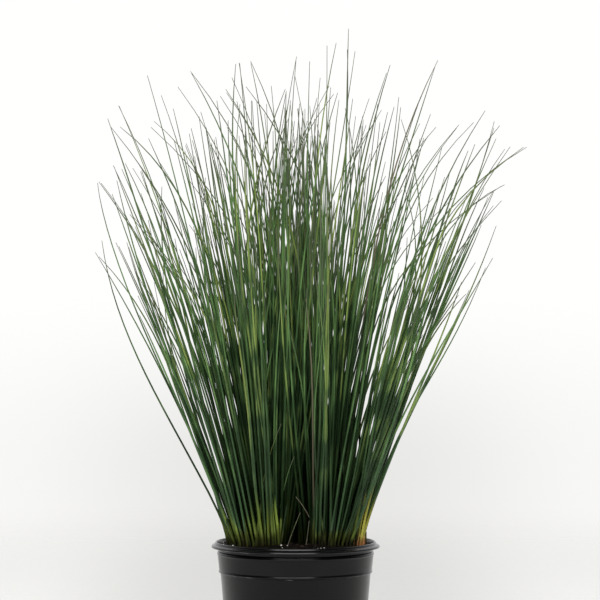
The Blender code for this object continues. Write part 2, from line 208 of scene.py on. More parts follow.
class SoilSettings(PropertyGroup):
    seed: IntProperty(name="Seed", description="Picks the places of the crumbs and grains", default=21)
    relief: FloatProperty(
        name="Relief",
        description="How far the soil surface rises and falls",
        default=1.3 * MM,
        subtype="DISTANCE",
        unit="LENGTH",
    )
    crumbs: IntProperty(name="Crumbs", description="Loose pieces of bark on the soil", default=620, min=0)
    grains: IntProperty(name="Grains", description="White grains scattered in the soil", default=22, min=0)
    peat: FloatVectorProperty(
        name="Peat",
        description="Colour of the damp soil",
        default=(0.0038, 0.0027, 0.002),
        subtype="COLOR",
        size=3,
        min=0.0,
        max=1.0,
    )
    bark: FloatVectorProperty(
        name="Bark",
        description="Colour of the bark crumbs",
        default=(0.020, 0.012, 0.0075),
        subtype="COLOR",
        size=3,
        min=0.0,
        max=1.0,
    )
    perlite: FloatVectorProperty(
        name="Perlite",
        description="Colour of the white grains",
        default=(0.62, 0.60, 0.55),
        subtype="COLOR",
        size=3,
        min=0.0,
        max=1.0,
    )


class StemSettings(PropertyGroup):
    seed: IntProperty(name="Seed", description="Picks the places and shapes of the added stems", default=7)
    foot_radius: FloatProperty(
        name="Foot Radius",
        description="Mean radius of a stem at its foot",
        default=1.24 * MM,
        subtype="DISTANCE",
        unit="LENGTH",
    )
    spacing: FloatProperty(
        name="Spacing",
        description="Least distance between two feet",
        default=2.4 * MM,
        subtype="DISTANCE",
        unit="LENGTH",
    )
    added: FloatProperty(
        name="Added Stems",
        description="Stems added for each stem of the solids",
        default=1.4,
        min=0.0,
    )
    middle: IntProperty(
        name="Middle Stems",
        description="Tall stems that each side of the clump sends up into the middle",
        default=34,
        min=0,
    )
    blade: FloatVectorProperty(
        name="Blade",
        description="Colour of a grown stem at its middle",
        default=(0.032, 0.068, 0.026),
        subtype="COLOR",
        size=3,
        min=0.0,
        max=1.0,
    )
    upper: FloatVectorProperty(
        name="Upper",
        description="Colour of a stem above its middle",
        default=(0.090, 0.172, 0.056),
        subtype="COLOR",
        size=3,
        min=0.0,
        max=1.0,
    )
    foot: FloatVectorProperty(
        name="Foot",
        description="Colour of a stem just over the soil",
        default=(0.140, 0.195, 0.026),
        subtype="COLOR",
        size=3,
        min=0.0,
        max=1.0,
    )
    olive: FloatVectorProperty(
        name="Olive",
        description="Colour of the upper half of stems that yellow early",
        default=(0.21, 0.275, 0.070),
        subtype="COLOR",
        size=3,
        min=0.0,
        max=1.0,
    )
    bright_foot: FloatVectorProperty(
        name="Bright Foot",
        description="Colour over the sheaths of the tuft at the right edge",
        default=(0.36, 0.34, 0.05),
        subtype="COLOR",
        size=3,
        min=0.0,
        max=1.0,
    )
    # Painted shade: the near-black colour that darkens the lower parts of stems deep in the clump, in the gap
    # between the sides and just over the soil
    shadow: FloatVectorProperty(
        name="Shadow",
        description="Colour of the old feet in the dark middle of the clump",
        default=(0.0015, 0.0035, 0.0006),
        subtype="COLOR",
        size=3,
        min=0.0,
        max=1.0,
    )
    point: FloatVectorProperty(
        name="Point",
        description="Colour of the dry point of a stem",
        default=(0.10, 0.115, 0.075),
        subtype="COLOR",
        size=3,
        min=0.0,
        max=1.0,
    )
    sheath: FloatVectorProperty(
        name="Sheath",
        description="Colour of the sheath round a foot",
        default=(0.030, 0.017, 0.008),
        subtype="COLOR",
        size=3,
        min=0.0,
        max=1.0,
    )
    bright_sheath: FloatVectorProperty(
        name="Bright Sheath",
        description="Colour of the sheaths of the tuft at the right edge",
        default=(0.42, 0.17, 0.07),
        subtype="COLOR",
        size=3,
        min=0.0,
        max=1.0,
    )
    straw: FloatVectorProperty(
        name="Straw",
        description="Colour of dead stems",
        default=(0.16, 0.14, 0.095),
        subtype="COLOR",
        size=3,
        min=0.0,
        max=1.0,
    )


class StageSettings(PropertyGroup):
    camera_distance: FloatProperty(
        name="Camera Distance",
        description="From the camera to the axis of the pot",
        default=2.6,
        subtype="DISTANCE",
        unit="LENGTH",
    )
    camera_height: FloatProperty(
        name="Camera Height",
        description="Height of the level camera over the floor",
        default=0.405,
        subtype="DISTANCE",
        unit="LENGTH",
    )
    camera_aside: FloatProperty(
        name="Camera Aside",
        description="Sideways place of the camera",
        default=0.0044,
        subtype="DISTANCE",
        unit="LENGTH",
    )
    frame_width: FloatProperty(
        name="Frame Width",
        description="Width that the image takes in at the axis of the pot",
        default=0.5976,
        subtype="DISTANCE",
        unit="LENGTH",
    )
    floor_radius: FloatProperty(
        name="Floor Radius",
        description="Radius of the pale floor, which fades out towards its edge",
        default=4.0,
        subtype="DISTANCE",
        unit="LENGTH",
    )
    backdrop: FloatVectorProperty(
        name="Backdrop",
        description="Colour of the pale backdrop",
        default=(0.985, 0.985, 0.975),
        subtype="COLOR",
        size=3,
        min=0.0,
        max=1.0,
    )
    floor: FloatVectorProperty(
        name="Floor",
        description="Colour of the pale floor",
        default=(0.84, 0.835, 0.815),
        subtype="COLOR",
        size=3,
        min=0.0,
        max=1.0,
    )


def put_in_scene(name, mesh, materials):
    """A new object with a mesh and its materials, linked to the scene."""
    for material in materials:
        mesh.materials.append(material)
    piece = bpy.data.objects.new(name, mesh)
    bpy.context.scene.collection.objects.link(piece)
    return piece


def dress(piece, slot, *nodes):
    """Let a piece ride on the part's body and stand for its solids. The slot is not used."""
    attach(piece, BODY)
    if nodes:
        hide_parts(*nodes)


# Node helpers


def add_node(tree, kind, **values):
    """A new node; a value's name is a property of the node, or one of its inputs with blanks as _."""
    node = tree.nodes.new(kind)
    for key, value in values.items():
        if hasattr(node, key):
            setattr(node, key, value)
        else:
            node.inputs[key.replace("_", " ")].default_value = value
    return node


def link(tree, output, target):
    tree.links.new(output, target)


def math_node(tree, operation, first, second=None, third=None):
    """A Math node with numbers or sockets as its inputs; returns its output."""
    node = tree.nodes.new("ShaderNodeMath")
    node.operation = operation
    for socket, value in zip(node.inputs, (first, second, third)):
        if value is None:
            continue
        if isinstance(value, (int, float)):
            socket.default_value = value
        else:
            link(tree, value, socket)
    return node.outputs[0]


def blend_colours(tree, factor, first, second, blend_type="MIX"):
    """A Mix node for colours with colours or sockets as its inputs; returns its output."""
    node = tree.nodes.new("ShaderNodeMix")
    node.data_type = "RGBA"
    node.blend_type = blend_type
    node.clamp_factor = True
    for socket, value in ((node.inputs[0], factor), (node.inputs[6], first), (node.inputs[7], second)):
        if isinstance(value, bpy.types.NodeSocket):
            link(tree, value, socket)
        elif isinstance(value, (int, float)):
            socket.default_value = value
        else:
            socket.default_value = (*value[:3], 1.0)
    return node.outputs[2]


def range_of(tree, value, low, high, to_low=0.0, to_high=1.0):
    """A smooth Map Range node; returns its output."""
    node = tree.nodes.new("ShaderNodeMapRange")
    node.interpolation_type = "SMOOTHSTEP"
    link(tree, value, node.inputs["Value"])
    node.inputs["From Min"].default_value = low
    node.inputs["From Max"].default_value = high
    node.inputs["To Min"].default_value = to_low
    node.inputs["To Max"].default_value = to_high
    return node.outputs["Result"]


def new_group(name, inputs, outputs):
    """An empty shader node group with named sockets; returns it with its two end nodes."""
    group = bpy.data.node_groups.new(name, "ShaderNodeTree")
    for label, kind, default in inputs:
        socket = group.interface.new_socket(label, in_out="INPUT", socket_type=kind)
        if default is not None:
            socket.default_value = default
    for label, kind in outputs:
        group.interface.new_socket(label, in_out="OUTPUT", socket_type=kind)
    return group, group.nodes.new("NodeGroupInput"), group.nodes.new("NodeGroupOutput")


def use_group(tree, group, **values):
    """Place a group in a tree; values are numbers, colours or sockets, named with _ for blanks."""
    node = tree.nodes.new("ShaderNodeGroup")
    node.node_tree = group
    for key, value in values.items():
        socket = node.inputs[key.replace("_", " ")]
        if isinstance(value, bpy.types.NodeSocket):
            link(tree, value, socket)
        elif isinstance(value, (int, float)):
            socket.default_value = value
        else:
            socket.default_value = (*value[:3], 1.0)
    return node


def new_material(name):
    """A node material with its Principled BSDF; returns the material, its tree and the shader."""
    material = bpy.data.materials.new(name)
    material.use_nodes = True
    tree = material.node_tree
    return material, tree, tree.nodes["Principled BSDF"]


def add_bump(tree, shader, height, strength, distance, under=None):
    bump = add_node(tree, "ShaderNodeBump", Strength=strength, Distance=distance)
    link(tree, height, bump.inputs["Height"])
    if under is not None:
        link(tree, under, bump.inputs["Normal"])
    link(tree, bump.outputs["Normal"], shader.inputs["Normal"])
    return bump.outputs["Normal"]


# Effects shared by several materials


def speckle_group():
    """Soft specks at a given scale, as a mask from 0 to 1."""
    group, start, end = new_group(
        "Specks",
        [("Scale", "NodeSocketFloat", 400.0), ("Amount", "NodeSocketFloat", 0.3)],
        [("Mask", "NodeSocketFloat")],
    )
    place = add_node(group, "ShaderNodeTexCoord")
    grain = add_node(group, "ShaderNodeTexNoise", Detail=3.0, Roughness=0.6)
    link(group, place.outputs["Object"], grain.inputs["Vector"])
    link(group, start.outputs["Scale"], grain.inputs["Scale"])
    level = math_node(group, "SUBTRACT", 0.72, math_node(group, "MULTIPLY", start.outputs["Amount"], 0.3))
    over = math_node(group, "SUBTRACT", grain.outputs["Fac"], level)
    mask = math_node(group, "MULTIPLY", over, 9.0)
    mask = math_node(group, "MINIMUM", math_node(group, "MAXIMUM", mask, 0.0), 1.0)
    link(group, mask, end.inputs["Mask"])
    return group


def mottling_group():
    """Large and small cloudy variation of a colour."""
    group, start, end = new_group(
        "Mottling",
        [
            ("Colour", "NodeSocketColor", (0.5, 0.5, 0.5, 1.0)),
            ("Scale", "NodeSocketFloat", 60.0),
            ("Depth", "NodeSocketFloat", 0.3),
        ],
        [("Colour", "NodeSocketColor"), ("Value", "NodeSocketFloat")],
    )
    place = add_node(group, "ShaderNodeTexCoord")
    cloud = add_node(group, "ShaderNodeTexNoise", Detail=6.0, Roughness=0.62)
    link(group, place.outputs["Object"], cloud.inputs["Vector"])
    link(group, start.outputs["Scale"], cloud.inputs["Scale"])
    spread = range_of(group, cloud.outputs["Fac"], 0.3, 0.7, -1.0, 1.0)
    change = math_node(group, "ADD", 1.0, math_node(group, "MULTIPLY", spread, start.outputs["Depth"]))
    tint = group.nodes.new("ShaderNodeVectorMath")
    tint.operation = "SCALE"
    link(group, start.outputs["Colour"], tint.inputs[0])
    link(group, change, tint.inputs["Scale"])
    link(group, tint.outputs["Vector"], end.inputs["Colour"])
    link(group, cloud.outputs["Fac"], end.inputs["Value"])
    return group


def stem_colour_group():
    """Colour of a stem from its foot to its point, with its own tone, sheath and age, and painted shade where the
    inner attribute darkens it towards the Shadow colour.
    """
    group, start, end = new_group(
        "Stem Colouring",
        [
            ("Blade", "NodeSocketColor", (0.04, 0.09, 0.04, 1.0)),
            ("Upper", "NodeSocketColor", (0.08, 0.13, 0.05, 1.0)),
            ("Foot", "NodeSocketColor", (0.13, 0.17, 0.02, 1.0)),
            ("Point", "NodeSocketColor", (0.12, 0.11, 0.08, 1.0)),
            ("Sheath", "NodeSocketColor", (0.03, 0.02, 0.01, 1.0)),
            ("Straw", "NodeSocketColor", (0.16, 0.14, 0.1, 1.0)),
            ("Olive", "NodeSocketColor", (0.19, 0.22, 0.035, 1.0)),
            ("Shadow", "NodeSocketColor", (0.01, 0.01, 0.004, 1.0)),
            ("Green Starts", "NodeSocketFloat", 0.06),
        ],
        [("Colour", "NodeSocketColor"), ("Dryness And Shade", "NodeSocketFloat")],
    )
    along = add_node(group, "ShaderNodeAttribute", attribute_name="along").outputs["Fac"]
    risen = add_node(group, "ShaderNodeAttribute", attribute_name="risen").outputs["Fac"]
    tone = add_node(group, "ShaderNodeAttribute", attribute_name="tone").outputs["Fac"]
    sheath = add_node(group, "ShaderNodeAttribute", attribute_name="sheath").outputs["Fac"]
    age = add_node(group, "ShaderNodeAttribute", attribute_name="age").outputs["Fac"]
    yellow = add_node(group, "ShaderNodeAttribute", attribute_name="yellow").outputs["Fac"]
    inner = add_node(group, "ShaderNodeAttribute", attribute_name="inner").outputs["Fac"]
    warm = add_node(group, "ShaderNodeAttribute", attribute_name="warm").outputs["Fac"]

    place = add_node(group, "ShaderNodeTexCoord")
    patch = add_node(group, "ShaderNodeTexNoise", Scale=24.0, Detail=2.0)
    link(group, place.outputs["Object"], patch.inputs["Vector"])
    patches = range_of(group, patch.outputs["Fac"], 0.35, 0.65, -0.5, 0.5)

    reach = math_node(group, "MULTIPLY", start.outputs["Green Starts"], math_node(group, "ADD", yellow, 0.25))
    green = math_node(group, "DIVIDE", risen, reach)
    green = range_of(group, green, 0.25, 1.25)
    colour = blend_colours(group, green, start.outputs["Foot"], start.outputs["Blade"])
    lift = math_node(group, "ADD", along, math_node(group, "MULTIPLY", patches, 0.45))
    colour = blend_colours(group, range_of(group, lift, 0.25, 0.8), colour, start.outputs["Upper"])
    turned = range_of(group, lift, 0.3, 0.75)
    colour = blend_colours(group, math_node(group, "MULTIPLY", warm, turned), colour, start.outputs["Olive"])
    shade = math_node(group, "ADD", math_node(group, "MULTIPLY", tone, 0.75), 0.62)
    shade = math_node(group, "ADD", shade, math_node(group, "MULTIPLY", patches, 0.16))
    tint = group.nodes.new("ShaderNodeVectorMath")
    tint.operation = "SCALE"
    link(group, colour, tint.inputs[0])
    link(group, shade, tint.inputs["Scale"])
    colour = tint.outputs["Vector"]
    dryness = math_node(group, "ADD", along, math_node(group, "MULTIPLY", age, 0.15))
    dryness = range_of(group, dryness, 0.78, 1.04)
    colour = blend_colours(group, dryness, colour, start.outputs["Point"])
    colour = blend_colours(group, sheath, colour, start.outputs["Sheath"])
    colour = blend_colours(group, range_of(group, age, 0.75, 0.95), colour, start.outputs["Straw"])
    # Painted shade: the inner value darkens the stem towards the Shadow colour
    colour = blend_colours(group, inner, colour, start.outputs["Shadow"])
    link(group, colour, end.inputs["Colour"])
    # Roughness follows the dryness and the painted shade, so shaded stems turn matte
    link(group, math_node(group, "MAXIMUM", dryness, inner), end.inputs["Dryness And Shade"])
    return group


def ridge_group():
    """Fine ridges that run up a stem, as a height from 0 to 1."""
    group, start, end = new_group(
        "Ridges",
        [("Count", "NodeSocketFloat", 14.0)],
        [("Height", "NodeSocketFloat")],
    )
    grain = add_node(group, "ShaderNodeUVMap", uv_map="grain")
    parts = add_node(group, "ShaderNodeSeparateXYZ")
    link(group, grain.outputs["UV"], parts.inputs["Vector"])
    turn = math_node(group, "MULTIPLY", parts.outputs["X"], math.tau)
    ridges = math_node(group, "SINE", math_node(group, "MULTIPLY", turn, start.outputs["Count"]))
    stretched = add_node(group, "ShaderNodeCombineXYZ")
    link(group, math_node(group, "MULTIPLY", parts.outputs["X"], 40.0), stretched.inputs["X"])
    link(group, math_node(group, "MULTIPLY", parts.outputs["Y"], 220.0), stretched.inputs["Y"])
    fibre = add_node(group, "ShaderNodeTexNoise", Scale=1.0, Detail=2.0)
    link(group, stretched.outputs["Vector"], fibre.inputs["Vector"])
    height = math_node(group, "ADD", math_node(group, "MULTIPLY", ridges, 0.35), fibre.outputs["Fac"])
    link(group, height, end.inputs["Height"])
    return group


def shared_group(name):
    """A shared effect, built the first time that a material asks for it."""
    makers = {
        "Specks": speckle_group,
        "Mottling": mottling_group,
        "Stem Colouring": stem_colour_group,
        "Ridges": ridge_group,
    }
    return bpy.data.node_groups.get(name) or makers[name]()


# Materials


def pot_plastic(settings):
    """Satin black moulded plastic with faint flow marks, a little dust, and edges lightened as painted highlight
    lines that also stand for wear.
    """
    material, tree, shader = new_material("satin_black_plastic")
    mottle = use_group(tree, shared_group("Mottling"), Colour=settings.plastic, Scale=22.0, Depth=0.22)
    dust = use_group(tree, shared_group("Specks"), Scale=900.0, Amount=0.12)
    geometry = add_node(tree, "ShaderNodeNewGeometry")
    # Painted highlight: the convex edges of the lip, the collar and the step are lightened towards the scuff
    # colour, in lines that also stand for wear
    edges = range_of(tree, geometry.outputs["Pointiness"], 0.51, 0.56)
    wear_and_painted_highlight = math_node(tree, "MULTIPLY", edges, math_node(tree, "MULTIPLY", mottle.outputs["Value"], 1.5))
    colour = blend_colours(tree, wear_and_painted_highlight, mottle.outputs["Colour"], settings.scuffs_and_painted_highlights)
    colour = blend_colours(
        tree, math_node(tree, "MULTIPLY", dust.outputs["Mask"], 0.12), colour, settings.scuffs_and_painted_highlights
    )
    link(tree, colour, shader.inputs["Base Color"])
    rough = range_of(tree, mottle.outputs["Value"], 0.3, 0.7, 0.19, 0.26)
    rough = math_node(tree, "ADD", rough, math_node(tree, "MULTIPLY", wear_and_painted_highlight, 0.2))
    link(tree, rough, shader.inputs["Roughness"])
    shader.inputs["Specular IOR Level"].default_value = 0.16

    place = add_node(tree, "ShaderNodeTexCoord")
    stretch = add_node(tree, "ShaderNodeMapping")
    stretch.inputs["Scale"].default_value = (1.0, 1.0, 0.12)
    link(tree, place.outputs["Object"], stretch.inputs["Vector"])
    flow = add_node(tree, "ShaderNodeTexNoise", Scale=70.0, Detail=3.0)
    link(tree, stretch.outputs["Vector"], flow.inputs["Vector"])
    wavy = add_bump(tree, shader, flow.outputs["Fac"], 0.12, 0.6 * MM)
    grain = add_node(tree, "ShaderNodeTexNoise", Scale=1700.0, Detail=2.0)
    link(tree, place.outputs["Object"], grain.inputs["Vector"])
    add_bump(tree, shader, grain.outputs["Fac"], 0.10, 0.08 * MM, wavy)
    return material


def damp_soil(settings):
    """Dark, damp, bark-based potting soil."""
    material, tree, shader = new_material("damp_potting_soil")
    coarse = use_group(tree, shared_group("Mottling"), Colour=settings.peat, Scale=260.0, Depth=0.6)
    flecks = use_group(tree, shared_group("Specks"), Scale=520.0, Amount=0.35)
    colour = blend_colours(
        tree, math_node(tree, "MULTIPLY", flecks.outputs["Mask"], 0.5), coarse.outputs["Colour"], settings.bark
    )
    link(tree, colour, shader.inputs["Base Color"])
    link(tree, range_of(tree, coarse.outputs["Value"], 0.3, 0.7, 0.62, 0.95), shader.inputs["Roughness"])
    shader.inputs["Specular IOR Level"].default_value = 0.06
    place = add_node(tree, "ShaderNodeTexCoord")
    lumps = add_node(tree, "ShaderNodeTexNoise", Scale=900.0, Detail=4.0, Roughness=0.7)
    link(tree, place.outputs["Object"], lumps.inputs["Vector"])
    add_bump(tree, shader, lumps.outputs["Fac"], 0.6, 0.5 * MM)
    return material


def crumb_bark(settings):
    """Bark crumbs, each of its own tone."""
    material, tree, shader = new_material("bark_crumb")
    tone = add_node(tree, "ShaderNodeAttribute", attribute_name="tone").outputs["Fac"]
    grain = use_group(tree, shared_group("Mottling"), Colour=settings.bark, Scale=420.0, Depth=0.5)
    dark = blend_colours(tree, tone, settings.peat, grain.outputs["Colour"])
    link(tree, dark, shader.inputs["Base Color"])
    link(tree, range_of(tree, grain.outputs["Value"], 0.3, 0.7, 0.55, 0.85), shader.inputs["Roughness"])
    shader.inputs["Specular IOR Level"].default_value = 0.12
    add_bump(tree, shader, grain.outputs["Value"], 0.5, 0.4 * MM)
    return material


def white_perlite(settings):
    """Porous white grains, dirtied by the soil."""
    material, tree, shader = new_material("white_perlite")
    grain = use_group(tree, shared_group("Mottling"), Colour=settings.perlite, Scale=700.0, Depth=0.25)
    dirt = use_group(tree, shared_group("Specks"), Scale=1400.0, Amount=0.6)
    colour = blend_colours(
        tree, math_node(tree, "MULTIPLY", dirt.outputs["Mask"], 0.6), grain.outputs["Colour"], settings.bark
    )
    link(tree, colour, shader.inputs["Base Color"])
    link(tree, range_of(tree, grain.outputs["Value"], 0.3, 0.7, 0.75, 0.95), shader.inputs["Roughness"])
    add_bump(tree, shader, grain.outputs["Value"], 0.7, 0.3 * MM)
    return material


def rush_green(name, settings, foot, sheath, green_starts, sheen=0.14):
    """Smooth rush stem; its kinds differ in their sheaths, sheen and how far the yellow foot reaches."""
    material, tree, shader = new_material(name)
    paint = use_group(
        tree,
        shared_group("Stem Colouring"),
        Blade=settings.blade,
        Upper=settings.upper,
        Foot=foot,
        Point=settings.point,
        Sheath=sheath,
        Straw=settings.straw,
        Olive=settings.olive,
        Shadow=settings.shadow,
        Green_Starts=green_starts,
    )
    ridges = use_group(tree, shared_group("Ridges"), Count=9.0)
    # Painted shade and highlight: the colour is darker in the furrows between the ridges and lighter on the
    # ridges
    ridge_light_and_furrow_shade = range_of(tree, ridges.outputs["Height"], 0.2, 0.9, 0.86, 1.08)
    tint = tree.nodes.new("ShaderNodeVectorMath")
    tint.operation = "SCALE"
    link(tree, paint.outputs["Colour"], tint.inputs[0])
    link(tree, ridge_light_and_furrow_shade, tint.inputs["Scale"])
    link(tree, tint.outputs["Vector"], shader.inputs["Base Color"])
    link(tree, range_of(tree, paint.outputs["Dryness And Shade"], 0.0, 1.0, 0.42, 0.85), shader.inputs["Roughness"])
    shader.inputs["Specular IOR Level"].default_value = sheen
    add_bump(tree, shader, ridges.outputs["Height"], 0.25, 0.12 * MM)
    return material


def seamless_paper(settings):
    """Pale floor that fades into the backdrop towards its edge, with a painted shadow that darkens it along the
    strip behind the pot.
    """
    material, tree, shader = new_material("seamless_paper")
    place = add_node(tree, "ShaderNodeTexCoord")
    length = tree.nodes.new("ShaderNodeVectorMath")
    length.operation = "LENGTH"
    link(tree, place.outputs["Object"], length.inputs[0])
    far = length.outputs["Value"]
    fibre = use_group(tree, shared_group("Mottling"), Colour=settings.floor, Scale=90.0, Depth=0.012)
    parts = add_node(tree, "ShaderNodeSeparateXYZ")
    link(tree, place.outputs["Object"], parts.inputs["Vector"])
    aside = math_node(tree, "ABSOLUTE", parts.outputs["X"])
    tint = tree.nodes.new("ShaderNodeVectorMath")
    tint.operation = "SCALE"
    link(tree, fibre.outputs["Colour"], tint.inputs[0])
    # Painted shadow: the floor is darker along the strip behind the pot and lighter out to the sides
    link(tree, range_of(tree, aside, 0.12, 0.4, 0.94, 1.17), tint.inputs["Scale"])
    link(tree, tint.outputs["Vector"], shader.inputs["Base Color"])
    shader.inputs["Roughness"].default_value = 0.9
    shader.inputs["Specular IOR Level"].default_value = 0.0
    link(tree, range_of(tree, far, 0.4, 2.6, 1.0, 0.0), shader.inputs["Alpha"])
    return material


# Pot


def softened(profile, steps=4):
    """Round the corners of a section; each point is (radius, height, how far its rounding reaches)."""
    points = []
    for index, (radius, height, reach) in enumerate(profile):
        here = Vector((radius, height))
        if reach <= 0.0 or index in (0, len(profile) - 1):
            points.append(here)
            continue
        before = Vector(profile[index - 1][:2]) - here
        after = Vector(profile[index + 1][:2]) - here
        start = here + before.normalized() * min(reach, 0.48 * before.length)
        finish = here + after.normalized() * min(reach, 0.48 * after.length)
        for step in range(steps + 1):
            share = step / steps
            points.append(start.lerp(here, share).lerp(here.lerp(finish, share), share))
    return points


def mouth_section(rim_radius, height):
    """Inner face of the pot from its floor to its crest, as (radius, height, rounding)."""
    collar_top = rim_radius - 6.2 * MM
    collar_foot = collar_top - 1.9 * MM
    base = rim_radius - 21.2 * MM
    return [
        (base - 1.8 * MM, 2.2 * MM, 0.6 * MM),
        (base - 0.6 * MM, 4.6 * MM, 1.0 * MM),
        (collar_foot - 2.8 * MM, height - 32.4 * MM, 0.8 * MM),
        (collar_foot - 1.5 * MM, height - 30.4 * MM, 0.8 * MM),
        (collar_top - 2.2 * MM, height - 11.4 * MM, 1.0 * MM),
        (rim_radius - 6.1 * MM, height - 2.0 * MM, 0.8 * MM),
        (rim_radius - 5.6 * MM, height - 0.4 * MM, 0.4 * MM),
    ]


def pot_section(rim_radius, height):
    """Whole section of the pot: base, wall, step, collar, flared lip and inner face."""
    collar_top = rim_radius - 6.2 * MM
    collar_foot = collar_top - 1.9 * MM
    base = rim_radius - 21.2 * MM
    outside = [
        (0.0, 0.0, 0.0),
        (base - 1.0 * MM, 0.0, 0.6 * MM),
        (base, 0.8 * MM, 0.5 * MM),
        (base + 0.8 * MM, 4.0 * MM, 1.0 * MM),
        (collar_foot - 1.2 * MM, height - 31.2 * MM, 0.4 * MM),
        (collar_foot + 0.5 * MM, height - 30.4 * MM, 0.4 * MM),
        (collar_foot + 0.8 * MM, height - 29.5 * MM, 0.4 * MM),
        (collar_foot + 0.2 * MM, height - 28.0 * MM, 0.5 * MM),
        (collar_top - 0.1 * MM, height - 13.0 * MM, 0.6 * MM),
        (collar_top + 0.5 * MM, height - 12.0 * MM, 0.5 * MM),
        (collar_top - 0.1 * MM, height - 9.8 * MM, 0.5 * MM),
        (collar_top - 0.9 * MM, height - 9.0 * MM, 0.4 * MM),
        (collar_top - 0.6 * MM, height - 6.8 * MM, 0.3 * MM),
    ]
    lip = [
        (rim_radius - 5.4 * MM, height - 4.6 * MM, 0.4 * MM),
        (rim_radius - 3.9 * MM, height - 3.9 * MM, 0.4 * MM),
        (rim_radius - 1.3 * MM, height - 5.0 * MM, 0.3 * MM),
        (rim_radius - 0.5 * MM, height - 5.9 * MM, 0.3 * MM),
        (rim_radius, height - 5.2 * MM, 0.4 * MM),
        (rim_radius - 0.6 * MM, height - 3.8 * MM, 0.4 * MM),
        (rim_radius - 3.2 * MM, height - 2.5 * MM, 0.6 * MM),
        (rim_radius - 4.0 * MM, height - 0.7 * MM, 0.5 * MM),
        (rim_radius - 4.9 * MM, height - 0.1 * MM, 0.6 * MM),
    ]
    inside = list(reversed(mouth_section(rim_radius, height)))
    return outside + lip + inside + [(0.0, 2.2 * MM, 0.0)]


def turned_mesh(name, points, segments):
    """A closed mesh turned round the z axis from a section that runs anticlockwise from axis to axis."""
    bm = bmesh.new()
    rings = []
    for point in points[1:-1]:
        ring = []
        for step in range(segments):
            angle = math.tau * step / segments
            ring.append(bm.verts.new((point[0] * math.cos(angle), point[0] * math.sin(angle), point[1])))
        rings.append(ring)
    bottom = bm.verts.new((0.0, 0.0, points[0][1]))
    top = bm.verts.new((0.0, 0.0, points[-1][1]))
    for step in range(segments):
        after = (step + 1) % segments
        bm.faces.new((bottom, rings[0][after], rings[0][step]))
        bm.faces.new((top, rings[-1][step], rings[-1][after]))
        for lower, upper in zip(rings, rings[1:]):
            bm.faces.new((lower[step], lower[after], upper[after], upper[step]))
    mesh = bpy.data.meshes.new(name)
    bm.normal_update()
    bm.to_mesh(mesh)
    bm.free()
    return mesh


def drill_floor(pot, settings):
    """Cut the drain holes through the floor of the pot."""
    bm = bmesh.new()
    for index in range(settings.drain_holes):
        angle = math.tau * (index + 0.5) / settings.drain_holes
        place = Matrix.Translation((47 * MM * math.cos(angle), 47 * MM * math.sin(angle), 1.1 * MM))
        bmesh.ops.create_cone(
            bm, cap_ends=True, segments=32, radius1=6 * MM, radius2=6 * MM, depth=6.6 * MM, matrix=place
        )
    mesh = bpy.data.meshes.new("drain_drills")
    bm.to_mesh(mesh)
    bm.free()
    drills = bpy.data.objects.new("drain_drills", mesh)
    bpy.context.scene.collection.objects.link(drills)
    cut = pot.modifiers.new("drain_holes", "BOOLEAN")
    cut.operation = "DIFFERENCE"
    cut.solver = "EXACT"
    cut.object = drills
    bpy.context.view_layer.update()
    cut_mesh = bpy.data.meshes.new_from_object(pot.evaluated_get(bpy.context.evaluated_depsgraph_get()))
    pot.modifiers.clear()
    whole = pot.data
    pot.data = cut_mesh
    cut_mesh.name = "nursery_pot"
    bpy.data.meshes.remove(whole)
    bpy.data.objects.remove(drills)


# Soil


def soil_height(x, y):
    """Height of the smooth mound that the solid soil has."""
    edge = SOIL_HIGH.x
    far = (x * x + y * y) / (edge * edge)
    return SOIL_HIGH.z - 2.6 * MM * min(1.0, far)


def soil_surface(x, y, relief):
    """Height of the rough soil at a place."""
    broad = noise.fractal(Vector((x, y, 0.0)) * 55.0, 0.8, 2.0, 4)
    fine = noise.fractal(Vector((x, y, 0.4)) * 330.0, 0.7, 2.1, 4)
    fall = min(1.0, max(0.0, (SOIL_HIGH.x - math.hypot(x, y)) / (4 * MM)))
    return soil_height(x, y) - 0.5 * relief + relief * fall * (0.55 * broad + 0.5 * fine)


def soil_mesh(settings, pot_settings):
    """The root ball with a finely uneven top."""
    inner = mouth_section(pot_settings.rim_radius, pot_settings.height)
    gap = 0.36 * MM
    points = [Vector((0.0, SOIL_LOW.z)), Vector((inner[0][0] - 0.6 * MM, SOIL_LOW.z))]
    points += [Vector((radius - gap, height)) for radius, height, reach in inner[1:5]]
    points.append(Vector((SOIL_HIGH.x, soil_height(SOIL_HIGH.x, 0.0) - 0.6 * MM)))
    rings = 58
    for ring in range(rings - 1, 0, -1):
        radius = SOIL_HIGH.x * ring / rings
        points.append(Vector((radius, soil_height(radius, 0.0))))
    points.append(Vector((0.0, soil_height(0.0, 0.0))))
    mesh = turned_mesh("potting_soil", points, 176)
    for vertex in mesh.vertices:
        far = math.hypot(vertex.co.x, vertex.co.y)
        if vertex.co.z > SOIL_HIGH.z - 3.0 * MM and far < SOIL_HIGH.x * (1.0 - 0.5 / rings):
            vertex.co.z = soil_surface(vertex.co.x, vertex.co.y, settings.relief)
    return mesh


